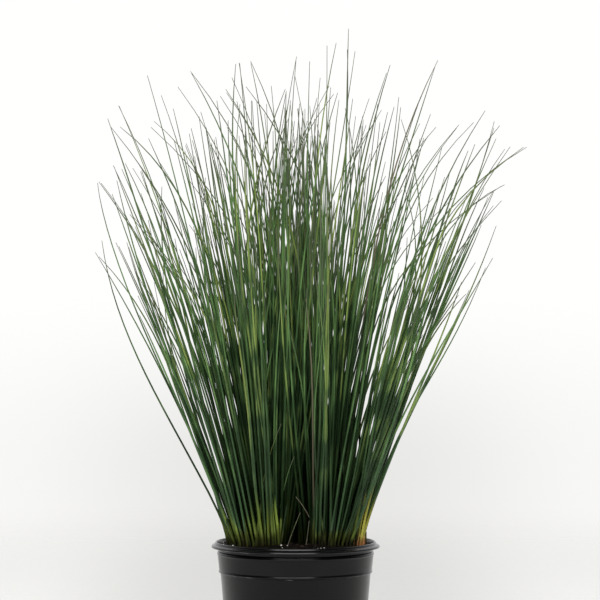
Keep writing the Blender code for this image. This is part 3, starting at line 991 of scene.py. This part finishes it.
class Chips:
    """Collects small lumps of stone or bark as one mesh."""

    def __init__(self, subdivisions):
        bm = bmesh.new()
        bmesh.ops.create_icosphere(bm, subdivisions=subdivisions, radius=1.0)
        self.shape = [vertex.co.copy() for vertex in bm.verts]
        self.shape_faces = [tuple(vertex.index for vertex in face.verts) for face in bm.faces]
        bm.free()
        self.points = []
        self.faces = []
        self.tones = []

    def add(self, place, size, turn, tone, blocky, rng):
        first = len(self.points)
        offset = Vector((rng.uniform(-90, 90), rng.uniform(-90, 90), rng.uniform(-90, 90)))
        for corner in self.shape:
            shaped = Vector([math.copysign(abs(value) ** blocky, value) for value in corner])
            swell = 1.0 + 0.42 * noise.noise(corner * 1.7 + offset)
            shaped = Vector((shaped.x * size[0], shaped.y * size[1], shaped.z * size[2])) * swell
            self.points.append(place + turn @ shaped)
        self.faces.extend(tuple(first + index for index in face) for face in self.shape_faces)
        self.tones.extend([tone] * len(self.shape))

    def mesh(self, name):
        mesh = bpy.data.meshes.new(name)
        mesh.from_pydata(self.points, [], self.faces)
        tones = mesh.attributes.new("tone", "FLOAT", "POINT")
        tones.data.foreach_set("value", self.tones)
        return mesh


def random_turn(rng, tilt):
    """A random turn round z after a small tilt."""
    lean = Matrix.Rotation(rng.gauss(0.0, tilt), 3, "X") @ Matrix.Rotation(rng.gauss(0.0, tilt), 3, "Y")
    return Matrix.Rotation(rng.uniform(0.0, math.tau), 3, "Z") @ lean


def on_soil(rng, edge_share):
    """A random place on the soil; edge_share of the places lie in the ring next to the pot wall."""
    limit = SOIL_HIGH.x - 2.2 * MM
    if rng.random() < edge_share:
        far = rng.uniform(0.78, 1.0) * limit
    else:
        far = math.sqrt(rng.random()) * limit
    angle = rng.uniform(0.0, math.tau)
    return far * math.cos(angle), far * math.sin(angle)


# Stems


def stem_lines(node):
    """Centre lines of a tuft's stems, foot first, read from the rings of its solid in the frame."""
    bm = bmesh.new()
    bm.from_mesh(node.data)
    bmesh.ops.remove_doubles(bm, verts=bm.verts, dist=0.001 * MM)
    lines = []
    for tip in bm.verts:
        if len(tip.link_edges) != 3 or tip.co.z < POT_HIGH.z + 50 * MM:
            continue
        line = [tip.co.copy()]
        seen = {tip}
        ring = {edge.other_vert(tip) for edge in tip.link_edges}
        for place in RING_PLACES:
            line.append(sum((vertex.co for vertex in ring), Vector()) / len(ring))
            seen |= ring
            ring = {edge.other_vert(vertex) for vertex in ring for edge in vertex.link_edges} - seen
        lines.append(line[::-1])
    bm.free()
    return sorted(lines, key=lambda line: line[-1][:])


def curve_through(line):
    """Control points of the cubic curve that a solid stem follows."""
    foot, tip = line[0], line[-1]
    aa = ab = bb = 0.0
    first, second = Vector(), Vector()
    for place, point in zip(RING_PLACES[1:], line[1:-1]):
        back = 1.0 - place
        low_share = 3 * back * back * place
        high_share = 3 * back * place * place
        rest = point - foot * back ** 3 - tip * place ** 3
        aa += low_share * low_share
        ab += low_share * high_share
        bb += high_share * high_share
        first += rest * low_share
        second += rest * high_share
    spread = aa * bb - ab * ab
    low = (first * bb - second * ab) / spread
    high = (second * aa - first * ab) / spread
    return (foot, low, high, tip)


def curve_point(curve, place):
    back = 1.0 - place
    foot, low, high, tip = curve
    inner = low * (3 * back * back * place) + high * (3 * back * place * place)
    return foot * back ** 3 + inner + tip * place ** 3


def curve_start(curve, place):
    """The part of a curve from its foot up to a place, as control points of its own."""
    foot, low, high, tip = curve
    a = foot.lerp(low, place)
    b = low.lerp(high, place)
    c = high.lerp(tip, place)
    d = a.lerp(b, place)
    e = b.lerp(c, place)
    return (foot.copy(), a, d, d.lerp(e, place))


class Thicket:
    """Collects stems as one mesh, with the values that the stem materials read."""

    def __init__(self, sides=7):
        self.sides = sides
        self.points = []
        self.faces = []
        self.grain = []
        self.strip = []
        self.kinds = []
        self.stem_count = 0
        # inner carries the painted shade of each point of a stem
        names = ("along", "risen", "tone", "sheath", "age", "yellow", "warm", "inner")
        self.values = {name: [] for name in names}

    def add_ring(self, centre, direction, radius, values, slant=0.0, phase=0.0):
        along = Vector((1, 0, 0))
        along = (along - direction * along.dot(direction)).normalized()
        across = direction.cross(along)
        for index in range(self.sides):
            angle = math.tau * index / self.sides
            out = along * math.cos(angle) + across * math.sin(angle)
            lift = direction * (slant * math.cos(angle - phase))
            self.points.append(centre + out * radius + lift)
            for key, value in values.items():
                self.values[key].append(value)

    def add_stem(self, rings, kind=0):
        """rings: list of dicts with centre, direction, radius, values and perhaps slant and phase."""
        first = len(self.points)
        first_face = len(self.faces)
        length = 0.0
        lengths = []
        last = None
        for ring in rings:
            if last is not None:
                length += (ring["centre"] - last).length
            last = ring["centre"]
            lengths.append(length)
            self.add_ring(
                ring["centre"],
                ring["direction"],
                ring["radius"],
                ring["values"],
                ring.get("slant", 0.0),
                ring.get("phase", 0.0),
            )
        tip_index = len(self.points)
        end = rings[-1]
        self.points.append(end["centre"] + end["direction"] * (2.5 * end["radius"]))
        for key, value in end["values"].items():
            self.values[key].append(value)
        total = length + 2.5 * end["radius"]
        sides = self.sides
        column = self.stem_count
        self.faces.append(tuple(first + index for index in reversed(range(sides))))
        self.grain.extend((index / sides, 0.0) for index in reversed(range(sides)))
        self.strip.extend((column, index / sides, 0.0) for index in reversed(range(sides)))
        for level in range(len(rings) - 1):
            low = first + level * sides
            high = low + sides
            for index in range(sides):
                after = (index + 1) % sides
                self.faces.append((low + index, low + after, high + after, high + index))
                for turn, row in ((index, level), (index + 1, level), (index + 1, level + 1), (index, level + 1)):
                    self.grain.append((turn / sides, lengths[row]))
                    self.strip.append((column, turn / sides, lengths[row] / total))
        low = first + (len(rings) - 1) * sides
        for index in range(sides):
            after = (index + 1) % sides
            self.faces.append((low + index, low + after, tip_index))
            for turn, row in ((index, lengths[-1]), (index + 1, lengths[-1]), (index + 0.5, total)):
                self.grain.append((turn / sides, row))
                self.strip.append((column, turn / sides, row / total))
        self.kinds.extend([kind] * (len(self.faces) - first_face))
        self.stem_count += 1

    def mesh(self, name):
        mesh = bpy.data.meshes.new(name)
        mesh.from_pydata(self.points, [], self.faces)
        mesh.polygons.foreach_set("material_index", self.kinds)
        for key, values in self.values.items():
            attribute = mesh.attributes.new(key, "FLOAT", "POINT")
            attribute.data.foreach_set("value", values)
        grain = mesh.uv_layers.new(name="grain")
        grain.uv.foreach_set("vector", [value for pair in self.grain for value in pair])
        bake = mesh.uv_layers.new(name="OFBake")
        width = 1.0 / max(1, self.stem_count)
        flat = []
        for column, around, up in self.strip:
            flat.append((column + 0.08 + 0.84 * around) * width)
            flat.append(0.002 + 0.996 * up)
        bake.uv.foreach_set("vector", flat)
        mesh.shade_smooth()
        return mesh


def stem_radius(foot_radius, place):
    """Radius of a stem: nearly even at first, then drawn out to a fine point."""
    return max(0.27 * MM, foot_radius * (1.0 - place) ** 0.38)


def grow_stem(thicket, curve, look, rings=17):
    """Add one stem that follows a curve, with a sheath round its foot."""
    foot_radius = look["radius"]
    length = (curve[3] - curve[0]).length
    sheath_top = min(0.3, look["sheath_length"] / length)
    places = [0.0, 0.5 * sheath_top, sheath_top * 0.995, sheath_top]
    first = len(places)
    for index in range(1, rings + 1):
        share = index / rings
        places.append(sheath_top + (1.0 - sheath_top) * share ** 0.92 * 0.999)
    made = []
    below = curve[0] - Vector((0, 0, 1)) * (curve[0].z - look["root_z"])
    values = {
        "along": 0.0,
        "risen": 0.0,
        "tone": look["tone"],
        "sheath": 1.0,
        "age": look["age"],
        "yellow": look["yellow"],
        "warm": look["warm"],
        "inner": look["inner"],
    }
    made.append(
        {"centre": below, "direction": Vector((0, 0, 1)), "radius": foot_radius * 1.18, "values": dict(values)}
    )
    wobble = Vector((look["wobble"][0], look["wobble"][1], 0.0))
    for order, place in enumerate(places):
        point = curve_point(curve, place)
        ahead = curve_point(curve, min(1.0, place + 0.02))
        behind = curve_point(curve, max(0.0, place - 0.02))
        sway = math.sin(place * look["waves"] + look["wave_start"]) - math.sin(look["wave_start"])
        point = point + wobble * sway * min(1.0, 4.0 * place)
        inside = order < first - 1
        values["along"] = place
        # Painted shade: a deep stem is darkened up to its shadow height, and every stem just over the soil by its
        # contact shade; the inner value carries both
        values["risen"] = max(0.0, point.z - curve[0].z)
        fade = min(1.0, values["risen"] / look["shadow_height"])
        near_soil = max(0.0, 1.0 - values["risen"] / look["contact_height"])
        values["inner"] = max(look["inner"] * (1.0 - fade ** 1.5), look["contact"] * near_soil ** 0.8)
        values["sheath"] = look["sheath"] * (1.0 - 0.75 * min(1.0, place / sheath_top)) if inside else 0.0
        radius = stem_radius(foot_radius, place)
        if inside:
            radius *= look["sheath_width"]
        ring = {
            "centre": point,
            "direction": (ahead - behind).normalized(),
            "radius": radius,
            "values": dict(values),
        }
        if order in (first - 2, first - 1):
            ring["slant"] = look["sheath_slant"]
            ring["phase"] = look["sheath_phase"]
        made.append(ring)
    thicket.add_stem(made, look["kind"])


def stem_look(settings, rng, depth, yellow, root_z):
    """Random size and colour of a stem; depth is 0 at an edge of the clump and 1 deep in it, and sets the painted
    shade of its lower part.
    """
    dead = rng.random() < 0.006
    # Painted shade for the lower part of the stem, from its depth in the clump
    inner = min(0.97, max(0.0, 1.1 * depth + rng.gauss(0.0, 0.06)))
    return {
        # Stems in deep painted shade take the shaded material, which has almost no sheen
        "kind": 1 if inner > 0.7 else 0,
        "radius": settings.foot_radius * rng.uniform(0.74, 1.2),
        "tone": rng.random(),
        "age": rng.uniform(0.9, 1.0) if dead else rng.uniform(0.0, 0.7),
        "yellow": min(1.3, max(0.0, rng.gauss(yellow, 0.28))),
        "warm": max(0.0, rng.uniform(-1.3, 1.0)),
        # Painted contact shade just over the soil, and how high deep painted shade reaches
        "inner": inner,
        "contact": rng.uniform(0.6, 0.95),
        "contact_height": rng.uniform(12.0, 26.0) * MM,
        "shadow_height": rng.uniform(140.0, 250.0) * MM,
        "sheath": rng.uniform(0.35, 1.0),
        "sheath_length": rng.uniform(6.0, 22.0) * MM,
        "sheath_width": rng.uniform(1.06, 1.16),
        "sheath_slant": rng.uniform(0.4, 1.6) * MM,
        "sheath_phase": rng.uniform(0.0, math.tau),
        "wobble": (rng.gauss(0.0, 1.2 * MM), rng.gauss(0.0, 1.2 * MM)),
        "waves": rng.uniform(3.0, 8.0),
        "wave_start": rng.uniform(0.0, math.tau),
        "root_z": root_z,
    }


def guides_of(names):
    """Curves of all the solid stems of some tufts."""
    guides = []
    for name in names:
        guides.extend(curve_through(line) for line in stem_lines(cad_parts[name]))
    return guides


def free_foot(x, y, feet, spacing):
    """True if a new foot keeps its distance to the others, to the pot and to the gap between the sides."""
    if math.hypot(x, y) > SOIL_HIGH.x - 4.5 * MM:
        return False
    if abs(x - GAP_MIDDLE) < GAP_HALF and y < GAP_BACK:
        return False
    return all((x - other[0]) ** 2 + (y - other[1]) ** 2 > spacing * spacing for other in feet)


def outwards(x, y):
    """Direction out of the bed of feet at a place, and how far out the place lies (1 at the edge)."""
    across = (x - BED_MIDDLE[0]) / BED_HALF[0]
    deep = (y - BED_MIDDLE[1]) / BED_HALF[1]
    return Vector((across / BED_HALF[0], deep / BED_HALF[1], 0.0)).normalized(), math.hypot(across, deep)


def held_inside(point):
    """A point, brought back if it strays out of the box of the solids."""
    limits = zip(point, CAD_BOX[0], CAD_BOX[1])
    return Vector([min(max(value, least + 4 * MM), most - 4 * MM) for value, least, most in limits])


def middle_stem(side, feet, settings, rng):
    """A tall stem from anywhere in one side of the clump up into its middle, or None if there is no room."""
    centre_x, centre_y = SIDE_CENTRES[side]
    for attempt in range(14):
        angle = rng.uniform(0.0, math.tau)
        far = math.sqrt(rng.random()) * 27 * MM
        foot = Vector((centre_x + far * math.cos(angle), centre_y + far * math.sin(angle), 0.0))
        if free_foot(foot.x, foot.y, feet, settings.spacing):
            break
    else:
        return None
    foot.z = soil_height(foot.x, foot.y)
    tip = Vector((rng.gauss(4.0, 18.0) * MM, rng.gauss(14.0, 34.0) * MM, rng.uniform(440.0, 605.0) * MM))
    sway = Vector((rng.gauss(0.0, 11.0) * MM, rng.gauss(0.0, 11.0) * MM, 0.0))
    low = foot.lerp(tip, 0.33) + Vector((foot.x - centre_x, foot.y - centre_y, 0.0)) * 0.4 + sway
    high = foot.lerp(tip, 0.67) - sway * 0.6
    return (foot, low, high, held_inside(tip))


def companion(guide, feet, spacing, reach, rng):
    """A stem that grows beside a solid one and keeps it company, or None if there is no room."""
    out, far_out = outwards(guide[0].x, guide[0].y)
    for attempt in range(20):
        angle = rng.uniform(0.0, math.tau)
        far = math.sqrt(rng.uniform(0.06, 1.0)) * reach
        aside = Vector((far * math.cos(angle), far * math.sin(angle), 0.0))
        if far_out > 0.7:
            aside -= out * (aside.dot(out) + abs(aside.dot(out)))
        room = spacing * (1.5 if far_out > 0.85 else 1.0)
        if free_foot(guide[0].x + aside.x, guide[0].y + aside.y, feet, room):
            break
    else:
        return None
    share = 0.985 - 0.34 * rng.random() ** 1.5
    foot, low, high, tip = curve_start(guide, share)
    rise = (tip.z - foot.z) / 3
    stray = 0.1 if rng.random() < 0.1 else 0.035
    turn = Vector((rng.gauss(0.0, stray), rng.gauss(0.0, stray), 0.0))
    beyond = turn.dot(out) * min(1.0, 1.3 * far_out)
    if beyond > 0.0:
        turn -= out * beyond
    lean = Vector((tip.x - foot.x, tip.y - foot.y, 0.0)).normalized()
    arc = Vector((rng.gauss(0.0, 0.07), rng.gauss(0.0, 0.07), 0.0)) + lean * rng.gauss(-0.03, 0.1)
    arc *= rise
    foot = foot + aside
    low = low + aside * 1.1 + turn * rise + arc * 0.6
    high = high + aside * 1.3 + turn * 2 * rise + arc
    tip = tip + aside * 1.2 + turn * 3 * rise - arc * 0.8
    tip -= lean * max(0.0, lean.dot(tip - guide[3])) * 0.8
    return (foot, low, high, held_inside(tip))


def edge_at(edge, height):
    """Distance of an outline from the axis at a height."""
    for (low, near), (high, far) in zip(edge, edge[1:]):
        if height <= high * MM:
            return (near + (far - near) * max(0.0, height / MM - low) / (high - low)) * MM
    return edge[-1][1] * MM


def within_outline(curve):
    """A curve, drawn in towards its foot so far that it stays inside the outline of the clump."""
    foot = curve[0]
    share = 1.0
    for step in range(3, 21):
        point = curve_point(curve, step / 20)
        across = point.x - foot.x
        edge = edge_at(CLUMP_EDGES["left" if point.x < 0.0 else "right"], point.z)
        if abs(point.x) > edge and abs(across) > 8 * MM:
            share = min(share, (math.copysign(edge, point.x) - foot.x) / across)
    share = max(0.6, share)
    moved = [Vector((foot.x + (point.x - foot.x) * share, point.y, point.z)) for point in curve[1:]]
    return (foot, *moved)


def arching_curve(foot, places, feet, spacing):
    """A stem that passes three given places (x, z); its foot gives way to the feet that are there."""
    x, y = foot[0] * MM, foot[1] * MM
    for step in range(60):
        turn = 2.4 * step
        far = 0.9 * MM * math.sqrt(step)
        near_x = x + far * math.cos(turn)
        near_y = y + far * math.sin(turn)
        if free_foot(near_x, near_y, feet, spacing):
            break
    start = Vector((near_x, near_y, soil_height(near_x, near_y)))
    first, second, tip = [Vector((across * MM, y, height * MM)) for across, height in places]
    low = (first * 18 - start * 5 - second * 9 + tip * 2) / 6
    high = (start * 2 - first * 9 + second * 18 - tip * 5) / 6
    return (start, low, high, held_inside(tip))


def depths_of(feet):
    """How deep each foot stands among the others: 0 at an edge of the clump, up to 1 deep in it."""
    reach = 24 * MM
    looks = [(math.cos(math.tau * step / 12), math.sin(math.tau * step / 12)) for step in range(12)]
    depths = []
    for x, y in feet:
        counts = [0] * len(looks)
        for other_x, other_y in feet:
            across, deep = other_x - x, other_y - y
            far = math.hypot(across, deep)
            if 0.0 < far < reach:
                for step, (look_x, look_y) in enumerate(looks):
                    if across * look_x + deep * look_y > 0.64 * far:
                        counts[step] += 1
        depths.append(min(1.0, min(counts) / 6))
    return depths


def gap_shade(x, y):
    """How dark the gap between the sides makes a foot: 1 in its middle, 0 away from it."""
    aside = max(0.0, 1.0 - max(0.0, abs(x - GAP_MIDDLE) - GAP_HALF) / (9 * MM))
    behind = min(1.0, max(0.0, (y + 36 * MM) / (14 * MM)))
    return aside * behind


def side_curves(side, settings, feet, rng):
    """Tuft names and all the stem curves of one side: those of the solids and their companions."""
    names = sorted(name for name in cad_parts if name.startswith(side + "_tuft_"))
    guides = [within_outline(guide) for guide in guides_of(names)]
    curves = list(guides)
    feet.extend((guide[0].x, guide[0].y) for guide in guides)
    order = [(guides[index % len(guides)], 8 * MM) for index in range(int(settings.added * len(guides)))]
    rng.shuffle(order)
    bundles = []
    for place, company, foot, *places in ARCHING_STEMS:
        if place == side:
            curve = arching_curve(foot, places, feet, 0.8 * settings.spacing)
            feet.append((curve[0].x, curve[0].y))
            curves.append(curve)
            bundles.extend([(curve, 5 * MM)] * company)
    for guide, reach in bundles + order + [(None, 0.0)] * settings.middle:
        if guide:
            curve = companion(guide, feet, settings.spacing, reach, rng)
        else:
            curve = middle_stem(side, feet, settings, rng)
        if curve:
            feet.append((curve[0].x, curve[0].y))
            curves.append(within_outline(curve))
    return names, curves


# Operators


class RUSH_OT_build_pot(Operator):
    """Build the moulded nursery pot with its rolled lip, collar step and drain holes"""

    bl_idname = "rush.build_pot"
    bl_label = "Build Pot"

    def execute(self, context):
        settings = context.scene.rush_pot
        points = softened(pot_section(settings.rim_radius, settings.height))
        mesh = turned_mesh("nursery_pot", points, settings.segments)
        pot = put_in_scene("nursery_pot", mesh, [pot_plastic(settings)])
        drill_floor(pot, settings)
        pot.data.shade_smooth()
        pot.data.set_sharp_from_angle(angle=math.radians(38))
        dress(pot, "pot", "pot")
        return {"FINISHED"}


class RUSH_OT_fill_soil(Operator):
    """Fill the pot with its root ball and rough potting soil"""

    bl_idname = "rush.fill_soil"
    bl_label = "Fill Soil"

    def execute(self, context):
        settings = context.scene.rush_soil
        mesh = soil_mesh(settings, context.scene.rush_pot)
        mesh.shade_smooth()
        soil = put_in_scene("potting_soil", mesh, [damp_soil(settings)])
        dress(soil, "soil", "soil")
        return {"FINISHED"}


class RUSH_OT_scatter_crumbs(Operator):
    """Scatter bark crumbs and white grains on the soil"""

    bl_idname = "rush.scatter_crumbs"
    bl_label = "Scatter Crumbs"

    def execute(self, context):
        settings = context.scene.rush_soil
        rng = random.Random(settings.seed)
        crumbs = Chips(1)
        for index in range(settings.crumbs):
            x, y = on_soil(rng, 0.45)
            long = rng.uniform(0.6, 2.4) * MM
            size = (long, long * rng.uniform(0.35, 0.8), long * rng.uniform(0.18, 0.45))
            place = Vector((x, y, soil_surface(x, y, settings.relief) + 0.25 * size[2]))
            crumbs.add(place, size, random_turn(rng, 0.25), rng.random() ** 2, 0.7, rng)
        bark = put_in_scene("bark_crumbs", crumbs.mesh("bark_crumbs"), [crumb_bark(settings)])
        dress(bark, "soil")

        grains = Chips(2)
        seen = ((-14, -30), (-8, -36), (-13, -48), (22, -52), (25, -56), (28, -50), (58, -28), (-52, -46))
        places = [(x * MM, y * MM) for x, y in seen]
        places += [on_soil(rng, 0.4) for index in range(settings.grains)]
        for x, y in places:
            wide = rng.uniform(0.45, 1.15) * MM
            size = (wide, wide * rng.uniform(0.7, 1.0), wide * rng.uniform(0.6, 0.9))
            place = Vector((x, y, soil_surface(x, y, settings.relief) + 0.45 * size[2]))
            grains.add(place, size, random_turn(rng, 0.5), rng.random(), 0.9, rng)
        mesh = grains.mesh("perlite_grains")
        mesh.shade_smooth()
        perlite = put_in_scene("perlite_grains", mesh, [white_perlite(settings)])
        dress(perlite, "soil")
        return {"FINISHED"}


class RUSH_OT_grow_stems(Operator):
    """Grow the stems of the left, right and back side of the clump"""

    bl_idname = "rush.grow_stems"
    bl_label = "Grow Stems"

    def execute(self, context):
        settings = context.scene.rush_stems
        materials = [
            rush_green("green_rush_stem", settings, settings.foot, settings.sheath, 0.05),
            # The shaded copy of the stem material, with almost no sheen, goes on stems in deep painted shade
            rush_green("shaded_rush_stem", settings, settings.foot, settings.sheath, 0.05, 0.02),
        ]
        rng = random.Random(settings.seed)
        feet = []
        sides = [side_curves(side, settings, feet, rng) for side in SIDES]
        if not all(names for names, curves in sides):
            raise RuntimeError("the frame has no tufts on one of the sides")
        depths = iter(depths_of([(curve[0].x, curve[0].y) for names, curves in sides for curve in curves]))
        for side, (names, curves) in zip(SIDES, sides):
            thicket = Thicket()
            for curve in curves:
                x, y = curve[0].x, curve[0].y
                # Painted shade: the depth of the foot in the clump plus the side's own painted shade, and at
                # least the painted shade of the gap between the sides
                depth = max(next(depths) + SIDE_PAINTED_SHADE[side], gap_shade(x, y))
                yellow = SIDE_YELLOW[side] + 1.2 * noise.noise(Vector((x, y, 0.0)) * 45.0)
                look = stem_look(settings, rng, depth, yellow, soil_height(x, y) - 2.5 * MM)
                grow_stem(thicket, curve, look)
            piece = put_in_scene(f"{side}_stems", thicket.mesh(f"{side}_stems"), materials)
            dress(piece, "stems", *names)
        return {"FINISHED"}


class RUSH_OT_grow_sheathed_stems(Operator):
    """Grow the tuft with bright sheaths at the right edge of the clump"""

    bl_idname = "rush.grow_sheathed_stems"
    bl_label = "Grow Sheathed Stems"

    def execute(self, context):
        settings = context.scene.rush_stems
        material = rush_green(
            "sheathed_rush_stem", settings, settings.bright_foot, settings.bright_sheath, 0.036
        )
        rng = random.Random(settings.seed + 1)
        guides = guides_of([SHEATHED_NODE])
        for guide in guides:
            guide[1].x -= 15 * MM
        feet = [(guide[0].x, guide[0].y) for guide in guides]
        curves = list(guides)
        for index in range(9):
            curve = companion(guides[index % len(guides)], feet, 1.7 * MM, 4.5 * MM, rng)
            if curve:
                feet.append((curve[0].x, curve[0].y))
                curves.append(curve)
        thicket = Thicket()
        for curve in curves:
            root_z = soil_height(curve[0].x, curve[0].y) - 2.5 * MM
            look = stem_look(settings, rng, 0.0, 1.0, root_z)
            look["sheath"] = rng.uniform(0.8, 1.0)
            look["sheath_length"] = rng.uniform(6.0, 12.0) * MM
            look["sheath_width"] = rng.uniform(1.2, 1.4)
            look["age"] = rng.uniform(0.0, 0.6)
            # Painted shade: some of these stems are darkened at the foot and over their lower part
            look["contact"] = rng.uniform(0.1, 0.6)
            look["inner"] = rng.choice((0.0, 0.3, 0.85))
            look["shadow_height"] = rng.uniform(60.0, 110.0) * MM
            grow_stem(thicket, curve, look)
        piece = put_in_scene("sheathed_stems", thicket.mesh("sheathed_stems"), [material])
        dress(piece, "sheathed_stems", SHEATHED_NODE)
        return {"FINISHED"}


class RUSH_OT_lay_dead_stems(Operator):
    """Lay the few thin dead stems that cross the dark gap and the front of the clump"""

    bl_idname = "rush.lay_dead_stems"
    bl_label = "Lay Dead Stems"

    def execute(self, context):
        settings = context.scene.rush_stems
        material = rush_green("dead_rush_stem", settings, settings.straw, settings.sheath, 0.05)
        rng = random.Random(settings.seed + 2)
        thicket = Thicket(sides=6)
        for age, radius, points in DEAD_STEMS:
            curve = [Vector(point) * MM for point in points]
            root_z = soil_height(curve[0].x, curve[0].y) - 1.5 * MM
            look = stem_look(settings, rng, 0.0, 0.0, root_z)
            # They keep some painted contact shade just over the soil, and no deep painted shade
            look.update(radius=radius * MM, age=age, sheath=0.0, inner=0.0, contact=0.5, kind=0)
            look["wobble"] = (0.0, 0.0)
            grow_stem(thicket, curve, look, rings=12)
        piece = put_in_scene("dead_stems", thicket.mesh("dead_stems"), [material])
        dress(piece, "stems")
        return {"FINISHED"}


class RUSH_OT_set_stage(Operator):
    """Set up the pale floor, the backdrop, the soft lights and the camera"""

    bl_idname = "rush.set_stage"
    bl_label = "Set Stage"

    def execute(self, context):
        settings = context.scene.rush_stage
        scene = context.scene
        lay_floor(settings)
        light_backdrop(settings)
        add_lights()
        camera = bpy.data.objects.new("camera", bpy.data.cameras.new("camera"))
        scene.collection.objects.link(camera)
        camera.location = (settings.camera_aside, -settings.camera_distance, settings.camera_height)
        camera.rotation_euler = (math.radians(90), 0.0, 0.0)
        camera.data.sensor_width = 36.0
        camera.data.lens = 36.0 * settings.camera_distance / settings.frame_width
        scene.camera = camera
        scene.view_settings.view_transform = "Standard"
        return {"FINISHED"}


# Stage


def lay_floor(settings):
    bm = bmesh.new()
    bmesh.ops.create_circle(bm, cap_ends=True, segments=96, radius=settings.floor_radius)
    mesh = bpy.data.meshes.new("pale_floor")
    bm.to_mesh(mesh)
    bm.free()
    floor = put_in_scene("pale_floor", mesh, [seamless_paper(settings)])


def light_backdrop(settings):
    """Pale surroundings: for the camera, darker below the horizon towards the middle as a painted shadow, and as
    a light bright behind and dark in front.
    """
    world = bpy.data.worlds.new("studio")
    bpy.context.scene.world = world
    world.use_nodes = True
    tree = world.node_tree
    plain = tree.nodes["Background"]
    output = tree.nodes["World Output"]
    place = add_node(tree, "ShaderNodeTexCoord")
    parts = add_node(tree, "ShaderNodeSeparateXYZ")
    link(tree, place.outputs["Generated"], parts.inputs["Vector"])
    # Painted shadow for the camera: the surroundings below the horizon are darker towards the middle, behind the
    # pot
    rise = range_of(tree, parts.outputs["Z"], -0.065, 0.01)
    aside = range_of(tree, math_node(tree, "ABSOLUTE", parts.outputs["X"]), 0.02, 0.12)
    low = blend_colours(tree, aside, (0.79, 0.785, 0.77), (0.92, 0.915, 0.90))
    link(tree, blend_colours(tree, rise, low, settings.backdrop), plain.inputs["Color"])
    plain.inputs["Strength"].default_value = 1.02

    studio = add_node(tree, "ShaderNodeBackground")
    tilted = add_node(tree, "ShaderNodeVectorMath", operation="DOT_PRODUCT")
    link(tree, place.outputs["Generated"], tilted.inputs[0])
    tilted.inputs[1].default_value = (0.0, 0.86, 0.5)
    power = range_of(tree, tilted.outputs["Value"], 0.08, 0.85, 0.05, 1.25)
    link(tree, power, studio.inputs["Strength"])
    studio.inputs["Color"].default_value = (1.0, 1.0, 1.0, 1.0)
    path = add_node(tree, "ShaderNodeLightPath")
    mix = add_node(tree, "ShaderNodeMixShader")
    link(tree, path.outputs["Is Camera Ray"], mix.inputs["Fac"])
    link(tree, studio.outputs["Background"], mix.inputs[1])
    link(tree, plain.outputs["Background"], mix.inputs[2])
    link(tree, mix.outputs["Shader"], output.inputs["Surface"])


def add_lights():
    """Soft boxes: a broad key high in front and a weak fill beside the camera."""
    boxes = (
        ("key", (-0.1, -2.0, 2.0), (2.6, 0.9), 84.0),
        ("fill", (0.0, -2.6, 1.1), (3.0, 0.3), 11.0),
    )
    aim = Vector((0.0, 0.0, 0.35))
    for name, place, size, power in boxes:
        light = bpy.data.lights.new(name, "AREA")
        light.shape = "RECTANGLE"
        light.size, light.size_y = size
        light.energy = power
        lamp = bpy.data.objects.new(name, light)
        lamp.location = place
        lamp.rotation_euler = (aim - Vector(place)).to_track_quat("-Z", "Y").to_euler()
        bpy.context.scene.collection.objects.link(lamp)


class RUSH_PT_panel(Panel):
    """Sidebar panel with the steps that build the potted clump"""

    bl_label = "Rush Pot"
    bl_idname = "RUSH_PT_panel"
    bl_space_type = "VIEW_3D"
    bl_region_type = "UI"
    bl_category = "Rush Pot"

    def draw(self, context):
        layout = self.layout
        groups = (
            (context.scene.rush_stage, ("rush.set_stage",)),
            (context.scene.rush_pot, ("rush.build_pot",)),
            (context.scene.rush_soil, ("rush.fill_soil", "rush.scatter_crumbs")),
            (
                context.scene.rush_stems,
                ("rush.grow_stems", "rush.grow_sheathed_stems", "rush.lay_dead_stems"),
            ),
        )
        for settings, operators in groups:
            box = layout.box()
            for name in settings.bl_rna.properties.keys():
                if name not in ("rna_type", "name"):
                    box.prop(settings, name)
            for operator in operators:
                box.operator(operator)


SETTINGS = (
    ("rush_stage", StageSettings),
    ("rush_pot", PotSettings),
    ("rush_soil", SoilSettings),
    ("rush_stems", StemSettings),
)
CLASSES = (
    RUSH_OT_set_stage,
    RUSH_OT_build_pot,
    RUSH_OT_fill_soil,
    RUSH_OT_scatter_crumbs,
    RUSH_OT_grow_stems,
    RUSH_OT_grow_sheathed_stems,
    RUSH_OT_lay_dead_stems,
    RUSH_PT_panel,
)


def register():
    for name, group in SETTINGS:
        bpy.utils.register_class(group)
        setattr(bpy.types.Scene, name, PointerProperty(type=group))
    for item in CLASSES:
        bpy.utils.register_class(item)


def unregister():
    for item in reversed(CLASSES):
        bpy.utils.unregister_class(item)
    for name, group in reversed(SETTINGS):
        delattr(bpy.types.Scene, name)
        bpy.utils.unregister_class(group)


def main():
    register()
    bpy.ops.rush.set_stage()
    bpy.ops.rush.build_pot()
    bpy.ops.rush.fill_soil()
    bpy.ops.rush.scatter_crumbs()
    bpy.ops.rush.grow_stems()
    bpy.ops.rush.grow_sheathed_stems()
    bpy.ops.rush.lay_dead_stems()


if __name__ == "__main__":
    main()
